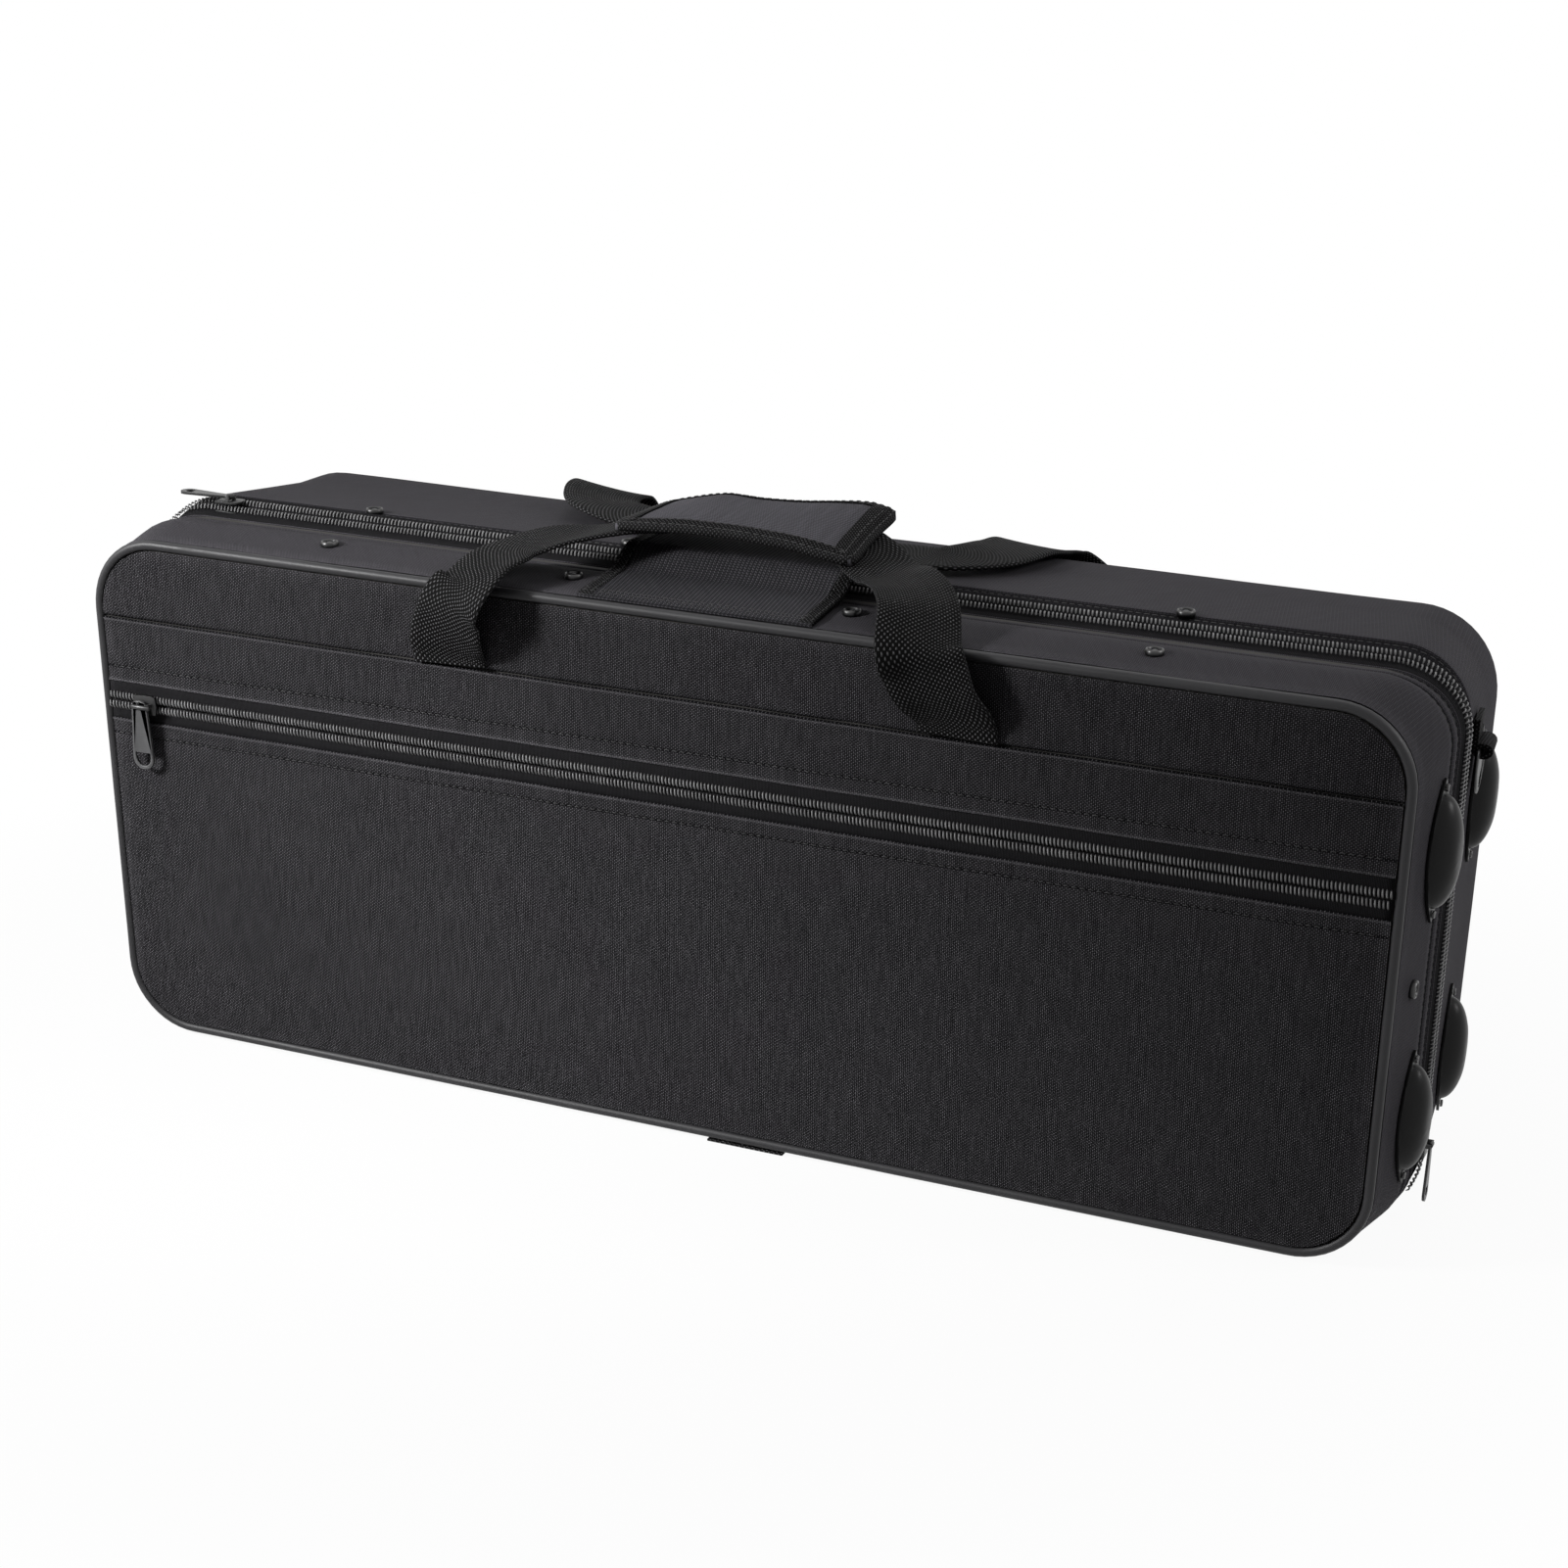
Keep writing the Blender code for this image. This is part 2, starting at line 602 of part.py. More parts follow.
def build_foam_insert():
    inset = -FOAM_INSET
    top_y = ZIP_Y + FOAM_RIM
    slot_share = (top_y - BASE_SLOT_Y) / (CROWN_END_Y - BASE_SLOT_Y)
    radius = blend(ZIP_CORNER_RADIUS, BACK_CORNER_RADIUS, slot_share)
    rings = [case_ring(top_y, radius, inset, inset), case_ring(CROWN_END_Y, BACK_CORNER_RADIUS, inset, inset)]
    rings += back_edge_rings(FOAM_INSET)
    mesh = ring_mesh("foam_insert", rings)
    cutters = []
    for name, depth, make_outline in bed_hollows(0):
        cutters.append(hollow_mesh(name, make_outline, top_y, top_y + depth))

    def neck(draw):
        return slot_outline(NECK_LEFT, NECK_RIGHT, NECK_RADIUS, NECK_RADIUS, NECK_Z, draw)

    def mouthpiece(draw):
        return round_outline(MOUTHPIECE_X, MOUTHPIECE_Z, MOUTHPIECE_RADIUS, MOUTHPIECE_HALF_HEIGHT, draw)

    cutters.append(hollow_mesh("neck", neck, top_y, top_y + NECK_DEPTH))
    cutters.append(hollow_mesh("mouthpiece", mouthpiece, top_y, top_y + MOUTHPIECE_DEPTH))
    mesh = boolean_mesh("foam_insert", mesh, cutters, "DIFFERENCE")
    return add_object("foam_insert", mesh, "plush", smooth=40)


def build_lid_foam():
    inset = -FOAM_INSET
    front_y = SHELL_FRONT_Y + SHELL_FRONT_WALL + FOAM_CLEARANCE
    mouth_y = front_y + LID_FOAM
    span = LID_SLOT_Y - SHELL_FRONT_Y - SHELL_FRONT_WALL
    share = (mouth_y - SHELL_FRONT_Y - SHELL_FRONT_WALL) / span
    mouth_radius = blend(FRONT_CORNER_RADIUS, ZIP_CORNER_RADIUS, min(1, share))
    rings = [
        case_ring(front_y, FRONT_CORNER_RADIUS, inset, inset),
        case_ring(mouth_y, mouth_radius, inset, inset),
    ]
    mesh = ring_mesh("lid_foam", rings)
    cutters = []
    for name, depth, make_outline in bed_hollows(HOLLOW_FILLET / 2):
        cutters.append(hollow_mesh(name, make_outline, mouth_y, mouth_y - LID_HOLLOW))
    mesh = boolean_mesh("lid_foam", mesh, cutters, "DIFFERENCE")
    return add_object("lid_foam", mesh, "plush", smooth=40)


# Front panels: a strip with its folded edges, trimmed to the outline inside the piping
def panel_mesh(name, profile):
    bottom = -(PANEL_DROP + BOTTOM_EDGE_DROP - EDGE_DROP)
    trim = ring_mesh("trim", [
        case_ring(FRONT_Y - OVERRUN, FRONT_CORNER_RADIUS, -PANEL_DROP, bottom),
        case_ring(FRONT_Y + OVERRUN, FRONT_CORNER_RADIUS, -PANEL_DROP, bottom),
    ])
    rings = [[(x, y, z) for y, z in profile] for x in (-HALF_LENGTH, HALF_LENGTH)]
    return boolean_mesh(name, ring_mesh(name, rings), [trim], "INTERSECT")


def build_front_panels():
    ridge_y = PANEL_FRONT_Y - SEAM_RIDGE
    low_welt = POCKET_ZIP_HEIGHT - POCKET_ZIP_OPENING / 2
    high_welt = POCKET_ZIP_HEIGHT + POCKET_ZIP_OPENING / 2
    pocket = [
        (PANEL_BACK_Y, -OVERRUN), (PANEL_FRONT_Y, -OVERRUN),
        (PANEL_FRONT_Y, low_welt - WELT_WIDTH), (ridge_y, low_welt - WELT_WIDTH + SEAM_RIDGE),
        (ridge_y, low_welt - SEAM_RIDGE), (PANEL_FRONT_Y, low_welt), (PANEL_BACK_Y, low_welt),
    ]
    yoke = [
        (PANEL_BACK_Y, high_welt), (PANEL_FRONT_Y, high_welt), (ridge_y, high_welt + SEAM_RIDGE),
        (ridge_y, high_welt + WELT_WIDTH - SEAM_RIDGE), (PANEL_FRONT_Y, high_welt + WELT_WIDTH),
        (PANEL_FRONT_Y, SEAM_HEIGHT - SEAM_RIDGE_WIDTH),
        (ridge_y, SEAM_HEIGHT - SEAM_RIDGE_WIDTH + SEAM_RIDGE),
        (ridge_y, SEAM_HEIGHT - SEAM_RIDGE), (PANEL_FRONT_Y, SEAM_HEIGHT - GAP),
        (PANEL_BACK_Y, SEAM_HEIGHT - GAP),
    ]
    top = [
        (PANEL_BACK_Y, SEAM_HEIGHT), (PANEL_FRONT_Y, SEAM_HEIGHT),
        (PANEL_FRONT_Y, CASE_HEIGHT + OVERRUN), (PANEL_BACK_Y, CASE_HEIGHT + OVERRUN),
    ]
    for name, profile in (("pocket_panel", pocket), ("yoke_panel", yoke), ("top_panel", top)):
        add_object(name, panel_mesh(name, profile), "oxford_cloth", smooth=30)


def build_piping():
    y = FRONT_Y + PIPE_RADIUS
    rings = []
    for x, z, normal in outline(FRONT_CORNER_RADIUS):
        out = level(normal, -EDGE_DROP, -BOTTOM_EDGE_DROP) - PIPE_RADIUS
        ring = []
        for side in range(PIPE_SIDES):
            angle = 2 * math.pi * (side + 1 / 2) / PIPE_SIDES
            reach = out + PIPE_RADIUS * math.cos(angle)
            ring.append((x + normal[0] * reach, y + PIPE_RADIUS * math.sin(angle), z + normal[1] * reach))
        rings.append(ring)
    mesh = ring_mesh("front_piping", rings, cyclic=True)
    add_object("front_piping", mesh, "piping_vinyl", smooth=60)


# The zip line runs up the left end, along the top and down the right end
def zip_run(end_angle):
    r = ZIP_CORNER_RADIUS
    side = CASE_HEIGHT - 2 * r
    top = CASE_LENGTH - 2 * r
    left, right = r - HALF_LENGTH, HALF_LENGTH - r
    high = CASE_HEIGHT - r
    quarter = math.pi / 2
    return [
        ("arc", r * end_angle, (left, r), math.pi + end_angle, math.pi),
        ("line", side, (-HALF_LENGTH, r), (-HALF_LENGTH, high), (-1, 0)),
        ("arc", r * quarter, (left, high), math.pi, quarter),
        ("line", top, (left, CASE_HEIGHT), (right, CASE_HEIGHT), (0, 1)),
        ("arc", r * quarter, (right, high), quarter, 0),
        ("line", side, (HALF_LENGTH, high), (HALF_LENGTH, r), (1, 0)),
        ("arc", r * end_angle, (right, r), 0, -end_angle),
    ]


def run_point(run, distance):
    for kind, length, *rest in run:
        if distance <= length or (kind, length, *rest) == run[-1]:
            share = min(1, distance / length)
            if kind == "line":
                start, end, normal = rest
                return blend(start[0], end[0], share), blend(start[1], end[1], share), normal
            centre, first, last = rest
            angle = blend(first, last, share)
            normal = (math.cos(angle), math.sin(angle))
            radius = ZIP_CORNER_RADIUS
            return centre[0] + radius * normal[0], centre[1] + radius * normal[1], normal
        distance -= length


# A strip swept along the zip line; sections are (distance from the zip line, level) pairs
def zip_strip(name, run, distances, sections, side):
    rings = []
    for distance, section in zip(distances, sections):
        x, z, normal = run_point(run, distance)
        crown = level(normal, ZIP_CROWN, 0)
        ring = []
        for reach, rise in section:
            out = crown + rise
            ring.append((x + normal[0] * out, ZIP_Y + side * reach, z + normal[1] * out))
        rings.append(ring)
    return ring_mesh(name, rings)


def build_zip_tape(name, side):
    run = zip_run(math.pi / 2)
    distances = [0]
    for kind, length, *rest in run:
        steps = CORNER_STEPS if kind == "arc" else 1
        start = distances[-1]
        distances += [start + length * (step + 1) / steps for step in range(steps)]
    inner = TAPE_OUT - TAPE
    section = [(TAPE_CENTRE_GAP, inner), (TAPE_CENTRE_GAP, TAPE_OUT), (TAPE_WIDTH, TAPE_OUT), (TAPE_WIDTH, inner)]
    mesh = zip_strip(name, run, distances, [section] * len(distances), side)
    add_object(name, mesh, "zip_tape", smooth=40)


def tooth_section(is_peak):
    if is_peak:
        return [(TOOTH_ROOT, TOOTH_BASE), (TOOTH_TIP, TOOTH_BASE), (TOOTH_PEAK, TOOTH_TOP)]
    return [(TOOTH_ROOT, TOOTH_BASE), (TOOTH_VALLEY, TOOTH_BASE), (TOOTH_PEAK, TOOTH_BASE + TOOTH_LOW)]


def build_zip_teeth(name, side):
    run = zip_run(ZIP_END_ANGLE)
    total = sum(piece[1] for piece in run)
    count = 2 * round(total / TOOTH_PITCH)
    distances = [total * step / count for step in range(count + 1)]
    first = 0 if side < 0 else 1
    sections = [tooth_section((step + first) % 2 == 0) for step in range(count + 1)]
    mesh = zip_strip(name, run, distances, sections, side)
    add_object(name, mesh, "zip_nylon", smooth=20)


def pocket_zip_half_length():
    return HALF_LENGTH - PANEL_DROP - GAP


def build_pocket_zip(parent_side, side):
    half = pocket_zip_half_length()
    width = POCKET_ZIP_OPENING / 2 - GAP
    name = "pocket_zip_tape_" + parent_side
    face = PANEL_FRONT_Y - TAPE_OUT
    ends = []
    for x in (-half, half):
        ends.append([
            (x, face + TAPE, POCKET_ZIP_HEIGHT + side * TAPE_CENTRE_GAP),
            (x, face, POCKET_ZIP_HEIGHT + side * TAPE_CENTRE_GAP),
            (x, face, POCKET_ZIP_HEIGHT + side * width),
            (x, face + TAPE, POCKET_ZIP_HEIGHT + side * width),
        ])
    add_object(name, ring_mesh(name, ends), "zip_tape")
    name = "pocket_zip_teeth_" + parent_side
    count = 2 * round(2 * half / TOOTH_PITCH)
    first = 0 if side < 0 else 1
    rings = []
    for step in range(count + 1):
        x = blend(-half, half, step / count)
        section = tooth_section((step + first) % 2 == 0)
        rings.append([(x, PANEL_FRONT_Y - rise, POCKET_ZIP_HEIGHT + side * reach) for reach, rise in section])
    add_object(name, ring_mesh(name, rings), "zip_nylon", smooth=20)


def disc_outline(radius, steps, centre=(0, 0)):
    angles = [2 * math.pi * step / steps for step in range(steps)]
    return [(centre[0] + radius * math.cos(a), centre[1] + radius * math.sin(a)) for a in angles]


# A slider in its own frame: X along the zip, Z out of the cloth, origin on the zip line at cloth level
def slider_mesh(name, bar_along_zip, flange_sides):
    half = SLIDER_LENGTH / 2
    nose, tail = SLIDER_NOSE_WIDTH / 2, SLIDER_TAIL_WIDTH / 2
    shoulder = half / 2
    wing = [
        (-half, -tail), (half - shoulder, -nose), (half - shoulder / 4, -tail), (half, 0),
        (half - shoulder / 4, tail), (half - shoulder, nose), (-half, tail),
    ]
    top = plate_mesh(name, wing, WING)
    top.transform(Matrix.Translation((0, 0, WING_BASE)))
    low_top = TAPE_OUT - TAPE - GAP
    low = plate_mesh("low_wing", wing, WING)
    low.transform(Matrix.Translation((0, 0, low_top - WING)))
    post_half = POST_THICKNESS / 2
    post_low = low_top - WING / 2
    post_high = WING_BASE + WING / 2
    parts = [low, box_mesh("post", (-POST_LENGTH / 2, -post_half, post_low), (POST_LENGTH / 2, post_half, post_high))]
    for side in flange_sides:
        edges = sorted((side * (tail - FLANGE), side * tail))
        low_corner = (-half + FLANGE, edges[0], TOOTH_BASE)
        parts.append(box_mesh("flange", low_corner, (shoulder, edges[1], post_high)))
    bail_half = BAIL_SPAN / 2
    bar = plate_mesh("bar", disc_outline(BAR_RADIUS, BAIL_STEPS), BAIL_SPAN + BAIL_POST)
    bar.transform(Matrix.Translation((0, 0, -(BAIL_SPAN + BAIL_POST) / 2)))
    bar.transform(Matrix.Rotation(math.pi / 2, 4, "X"))
    posts = []
    for side in (-1, 1):
        edges = sorted((side * bail_half, side * (bail_half + BAIL_POST)))
        low_z = post_high - PIVOT_LEVEL
        corner = (-BAIL_POST, edges[0], low_z)
        posts.append(box_mesh("bail_post", corner, (BAIL_POST, edges[1], BAR_RADIUS + GAP)))
    for piece in [bar] + posts:
        if bar_along_zip:
            piece.transform(Matrix.Rotation(math.pi / 2, 4, "Z"))
        piece.transform(Matrix.Translation((0, 0, PIVOT_LEVEL)))
        parts.append(piece)
    return boolean_mesh(name, top, parts, "UNION")


# A pull in its own frame: the pivot bar lies along Y through the origin, the tab hangs along -X
def pull_mesh(name):
    knuckle_width = BAIL_SPAN - 4 * GAP
    ring = plate_mesh(name, disc_outline(KNUCKLE_RADIUS, BAIL_STEPS), knuckle_width,
                      [disc_outline(KNUCKLE_BORE, BAIL_STEPS)])
    ring.transform(Matrix.Translation((0, 0, -knuckle_width / 2)))
    ring.transform(Matrix.Rotation(math.pi / 2, 4, "X"))
    neck, wide = PULL_NECK / 2, PULL_WIDTH / 2
    start = KNUCKLE_BORE + GAP
    end_centre = PULL_LENGTH - wide
    tab = [(-start, neck), (-start, -neck)]
    tab += [(-x, y) for x, y in arc((end_centre, 0), wide, -math.pi / 2, math.pi / 2, BAIL_STEPS // 2)]
    hole_centre = end_centre - PULL_HOLE / 4
    hole = [(-x, y) for x, y in arc((hole_centre, 0), PULL_HOLE / 2, -math.pi / 2, math.pi / 2, BAIL_STEPS // 2)]
    hole += [(-(hole_centre - PULL_HOLE / 2), PULL_HOLE / 2), (-(hole_centre - PULL_HOLE / 2), -PULL_HOLE / 2)]
    plate = plate_mesh("tab", tab, PULL_THICKNESS, [hole])
    plate.transform(Matrix.Translation((0, 0, -PULL_THICKNESS / 2)))
    return boolean_mesh(name, ring, [plate], "UNION")


def build_sliders(lid):
    straight_end = HALF_LENGTH - ZIP_CORNER_RADIUS
    room = SLIDER_LENGTH / 2 + MAIN_SLIDER_LEFT_SPACE
    left = Matrix.Translation((room - straight_end, ZIP_Y, CASE_HEIGHT + ZIP_CROWN))
    up = Vector((0, 0, 1))
    right = Matrix((up, Vector((0, -1, 0)), Vector((1, 0, 0)))).transposed().to_4x4()
    right = Matrix.Translation((HALF_LENGTH + ZIP_CROWN, ZIP_Y, ZIP_CORNER_RADIUS + room)) @ right
    places = (("main_slider_left", left, (1,)), ("main_slider_right", right, (-1,)))
    for name, place, flanges in places:
        slider = add_object(name, slider_mesh(name, False, flanges), "black_metal", place=place, smooth=30)
        bpy.context.view_layer.update()
        pivot = place @ Matrix.Translation((0, 0, PIVOT_LEVEL))
        pull_name = name.replace("slider", "pull")
        add_object(pull_name, pull_mesh(pull_name), "black_metal", place=pivot, parent=slider, smooth=30)
    across = Matrix((Vector((1, 0, 0)), Vector((0, 0, 1)), Vector((0, -1, 0)))).transposed().to_4x4()
    slider_x = POCKET_SLIDER_SPACE - pocket_zip_half_length()
    place = Matrix.Translation((slider_x, PANEL_FRONT_Y, POCKET_ZIP_HEIGHT)) @ across
    slider = add_object("pocket_slider", slider_mesh("pocket_slider", True, (-1, 1)), "black_metal",
                        place=place, parent=lid, smooth=30)
    bpy.context.view_layer.update()
    hang = Matrix.Translation((0, 0, PIVOT_LEVEL)) @ Matrix.Rotation(math.pi / 2, 4, "Z")
    add_object("pocket_pull", pull_mesh("pocket_pull"), "black_metal", place=place @ hang, parent=slider,
               smooth=30)


def build_hinge_bands():
    half = HALF_LENGTH - ZIP_CORNER_RADIUS - GAP
    for name, side in (("hinge_band_front", -1), ("hinge_band_rear", 1)):
        edges = sorted((ZIP_Y + side * GAP, ZIP_Y + side * TAPE_WIDTH))
        mesh = box_mesh(name, (-half, edges[0], 0), (half, edges[1], CLOTH))
        add_object(name, mesh, "webbing")


def build_base_straps():
    half = BASE_STRAP_WIDTH / 2
    low_x, high_x = BASE_STRAP_X - half, BASE_STRAP_X + half
    front_y = FRONT_Y + PIPE_RADIUS / 2
    front = box_mesh("base_strap_front", (low_x, front_y, 0), (high_x, LID_SLOT_Y, CLOTH))
    add_object("base_strap_front", front, "webbing")
    rear = box_mesh("base_strap_rear", (low_x, BASE_SLOT_Y, 0), (high_x, BASE_STRAP_BACK, CLOTH))
    add_object("base_strap_rear", rear, "webbing")


# A bumper lies on z = 0 with its length along X: a pointed flange under an oval dome
def bumper_mesh(name):
    rings = []
    lens = []
    for step in range(BUMPER_STEPS):
        angle = 2 * math.pi * step / BUMPER_STEPS
        x = math.cos(angle)
        lens.append((x * BUMPER_LENGTH / 2, math.copysign(1 - x * x, math.sin(angle)) * BUMPER_WIDTH / 2))
    tip_flat = FLANGE / 2
    lens = [(x, y if abs(y) > tip_flat else 0) for x, y in lens]
    rings.append([(x, y, 0) for x, y in lens])
    rings.append([(x, y, BUMPER_FLANGE) for x, y in lens])
    for step in range(DOME_STEPS + 1):
        angle = math.pi / 2 * step / (DOME_STEPS + 1)
        shrink = math.cos(angle)
        rise = BUMPER_FLANGE + (BUMPER_HEIGHT - BUMPER_FLANGE) * math.sin(angle)
        ring = []
        for index in range(BUMPER_STEPS):
            around = 2 * math.pi * index / BUMPER_STEPS
            x = BUMPER_DOME_LENGTH / 2 * math.cos(around) * shrink
            y = BUMPER_DOME_WIDTH / 2 * math.sin(around) * shrink
            ring.append((x, y, rise))
        rings.append(ring)
    return ring_mesh(name, rings)


def head_mesh(name, radius, height, dish):
    rings = []
    for share, rise in ((1, 0), (1, height / 2), (4 / 5, height), (1 / 3, height - dish)):
        ring = [(x, y, rise) for x, y in disc_outline(radius * share, HEAD_STEPS)]
        rings.append(ring)
    return ring_mesh(name, rings)


def build_bumpers(lid):
    for half, y, parent in (("front", FRONT_BUMPER_Y, lid), ("rear", REAR_BUMPER_Y, None)):
        for height, z in (("upper", BUMPER_HIGH_Z), ("lower", BUMPER_LOW_Z)):
            name = "bumper_" + half + "_" + height
            place = cover_frame("right", z, y) @ Matrix.Translation((0, 0, GAP))
            add_object(name, bumper_mesh(name), "bumper_plastic", place=place, parent=parent, smooth=40)
            for end, side in (("top", 1), ("bottom", -1)):
                screw = name + "_screw_" + end
                reach = side * (BUMPER_LENGTH / 2 - SCREW_INSET)
                seat = place @ Matrix.Translation((reach, 0, BUMPER_FLANGE + GAP))
                mesh = head_mesh(screw, SCREW_RADIUS, SCREW_HEIGHT, SCREW_HEIGHT / 4)
                add_object(screw, mesh, "gunmetal", place=seat, parent=parent, smooth=40)


def build_rivets(lid):
    spots = []
    rows = (
        ("lid", LID_RIVET_SHARES, LID_RIVET_RIGHT_SPACE, LID_RIVET_Y, lid),
        ("base", BASE_RIVET_SHARES, BASE_RIVET_RIGHT_SPACE, BASE_RIVET_Y, None),
    )
    for half, (first, last), right_space, y, parent in rows:
        places = (first * HALF_LENGTH, FLAP_LEFT - RIVET_LEFT_SPACE, FLAP_RIGHT + right_space, last * HALF_LENGTH)
        for index, x in enumerate(places):
            name = "rivet_" + half + "_" + str(index + 1)
            spots.append((name, "top", x, y, parent))
    spots.append(("rivet_lid_end", "right", END_RIVET_Z, LID_RIVET_Y, lid))
    for name, side, along, y, parent in spots:
        place = cover_frame(side, along, y) @ Matrix.Translation((0, 0, GAP))
        mesh = head_mesh(name, RIVET_RADIUS, RIVET_HEIGHT, RIVET_DISH)
        add_object(name, mesh, "gunmetal", place=place, parent=parent, smooth=40)


# The ring's wire centre line in the plate plane: bar along Y at x = 0, hanging towards -X
def ring_route():
    half = RING_WIDTH / 2
    corner = RING_CORNER
    points = arc((-corner, half - corner), corner, 0, math.pi / 2, 3)
    sides = [(x, y) for x, y in points]
    bow = half
    bow_x = -(RING_DROP - bow)
    sweep = arc((bow_x, 0), bow, math.pi / 2, 3 * math.pi / 2, 10)
    return sides + sweep + [(x, -y) for x, y in reversed(points)]


def ring_wire_mesh(name):
    route = ring_route()
    count = len(route)
    rings = []
    for index, (x, y) in enumerate(route):
        before = Vector(route[index - 1])
        after = Vector(route[(index + 1) % count])
        ahead = (after - before).normalized()
        side = Vector((ahead.y, -ahead.x))
        ring = []
        for step in range(RING_SIDES):
            angle = 2 * math.pi * step / RING_SIDES
            reach = RING_WIRE * math.cos(angle)
            ring.append((x + side.x * reach, y + side.y * reach, RING_WIRE * math.sin(angle)))
        rings.append(ring)
    return ring_mesh(name, rings, cyclic=True)


# A webbing tab rolled round the ring's bar and sewn down along its tongue, which points up (+X)
def ring_tab_mesh(name):
    outer = TAB_BORE + TAB_WALL
    lift = outer - TAB_THICKNESS
    join = math.acos(lift / outer)
    outline_points = arc((0, 0), outer, -math.pi + math.pi / 2 + join, 2 * math.pi - math.pi / 2, 12)
    outline_points += [(TAB_TONGUE, -outer), (TAB_TONGUE, TAB_THICKNESS - outer)]
    mesh = plate_mesh(name, outline_points, TAB_WIDTH, [disc_outline(TAB_BORE, HEAD_STEPS)])
    mesh.transform(Matrix.Translation((0, 0, -TAB_WIDTH / 2)))
    mesh.transform(Matrix.Rotation(math.pi / 2, 4, "X"))
    return mesh


def build_rings():
    lift = TAB_BORE + TAB_WALL + GAP
    for side in ("right", "left"):
        place = cover_frame(side, TAB_Z, TAB_Y) @ Matrix.Translation((0, 0, lift))
        add_object("ring_tab_" + side, ring_tab_mesh("ring_tab_" + side), "webbing", place=place, smooth=40)
        add_object("d_ring_" + side, ring_wire_mesh("d_ring_" + side), "black_metal", place=place, smooth=50)


# The flap: sewn at the piping, lying on the gusset, then arching over the zip and its sliders
def build_zip_flap(lid):
    start_y = PIPE_BACK_Y + GAP
    rest_y = start_y + FLAP_REST_WIDTH
    arch_y = ZIP_Y - SLIDER_NOSE_WIDTH
    far_y = ZIP_Y + SLIDER_NOSE_WIDTH
    end_y = ZIP_Y + FLAP_REACH

    def underside(y):
        seat = CASE_HEIGHT + cover_crown(y) + GAP
        if y <= rest_y:
            return seat
        if y < arch_y:
            share = (y - rest_y) / (arch_y - rest_y)
            return blend(CASE_HEIGHT + cover_crown(rest_y) + GAP, FLAP_LEVEL, share * share * (3 - 2 * share))
        if y <= far_y:
            return FLAP_LEVEL
        share = (y - far_y) / (end_y - far_y)
        return FLAP_LEVEL - FLAP_TIP_DROP * share * share

    stops = [start_y, CROWN_START_Y, rest_y]
    stops += [blend(rest_y, arch_y, (step + 1) / FLAP_STEPS) for step in range(FLAP_STEPS)]
    stops += [blend(far_y, end_y, step / (FLAP_STEPS // 2)) for step in range(FLAP_STEPS // 2 + 1)]
    columns = [
        (FLAP_LEFT, FLAP_BINDING), (FLAP_LEFT + FLAP_BINDING_WIDTH, FLAP_BINDING),
        (FLAP_LEFT + FLAP_BINDING_WIDTH, 0), (FLAP_RIGHT - FLAP_BINDING_WIDTH, 0),
        (FLAP_RIGHT - FLAP_BINDING_WIDTH, FLAP_BINDING), (FLAP_RIGHT, FLAP_BINDING),
    ]
    rings = []
    for y in stops:
        low = underside(y)
        ring = [(FLAP_LEFT, y, low)]
        ring += [(x, y, low + FLAP + proud) for x, proud in columns]
        ring.append((FLAP_RIGHT, y, low))
        rings.append(ring)
    add_object("zip_flap", ring_mesh("zip_flap", rings), "oxford_cloth", parent=lid, smooth=40)


def smooth_route(points, steps):
    count = len(points)
    route = []
    for step in range(steps + 1):
        place = (count - 1) * step / steps
        index = min(int(place), count - 2)
        t = place - index
        p0 = points[max(index - 1, 0)]
        p1, p2 = points[index], points[index + 1]
        p3 = points[min(index + 2, count - 1)]
        route.append(((p1 * 2) + (p2 - p0) * t + (p0 * 2 - p1 * 5 + p2 * 4 - p3) * t ** 2
                      + (p1 * 3 - p0 - p2 * 3 + p3) * t ** 3) / 2)
    return route


# Webbing swept along a route, its width turning smoothly between the given directions
def strap_mesh(name, route_points, width_points, rise=None):
    route = smooth_route(route_points, STRAP_STEPS)
    widths = smooth_route(width_points, STRAP_STEPS)
    rings = []
    for index, point in enumerate(route):
        ahead = route[min(index + 1, STRAP_STEPS)] - route[max(index - 1, 0)]
        ahead.normalize()
        width = widths[index] - ahead * widths[index].dot(ahead)
        width.normalize()
        face = width.cross(ahead)
        across = width * (WEBBING_WIDTH / 2)
        through = face * (WEBBING / 2)
        ring = [point - across - through, point - through, point + across - through,
                point + across + through, point + through, point - across + through]
        if rise:
            ring = [corner + Vector((0, 0, rise(corner.x, corner.y))) for corner in ring]
        rings.append(ring)
    return ring_mesh(name, rings)


# Rise of the saddle that the grip and the strap in it both follow: its long edges arch gently,
# its ridge climbs towards the right end
def grip_rise(x, y):
    along = (x - PAD_X) / (PAD_LENGTH / 2)
    across = min(1, max(0, (y - PAD_FRONT_Y) / (PAD_BACK_Y - PAD_FRONT_Y)))
    beyond = max(0, abs(x - PAD_X) - PAD_LENGTH / 2)
    inside = max(-1, min(1, along))
    ridge = CREST_LEFT + CREST_GAIN * ((1 + inside) / 2) ** CREST_POWER
    saddle = 1 - abs(2 * across - 1) ** SADDLE_POWER
    fade = max(0, 1 - beyond / PAD_FADE)
    return PAD_ARCH * (1 - inside ** 2) + ridge * saddle * fade * fade * (3 - 2 * fade)


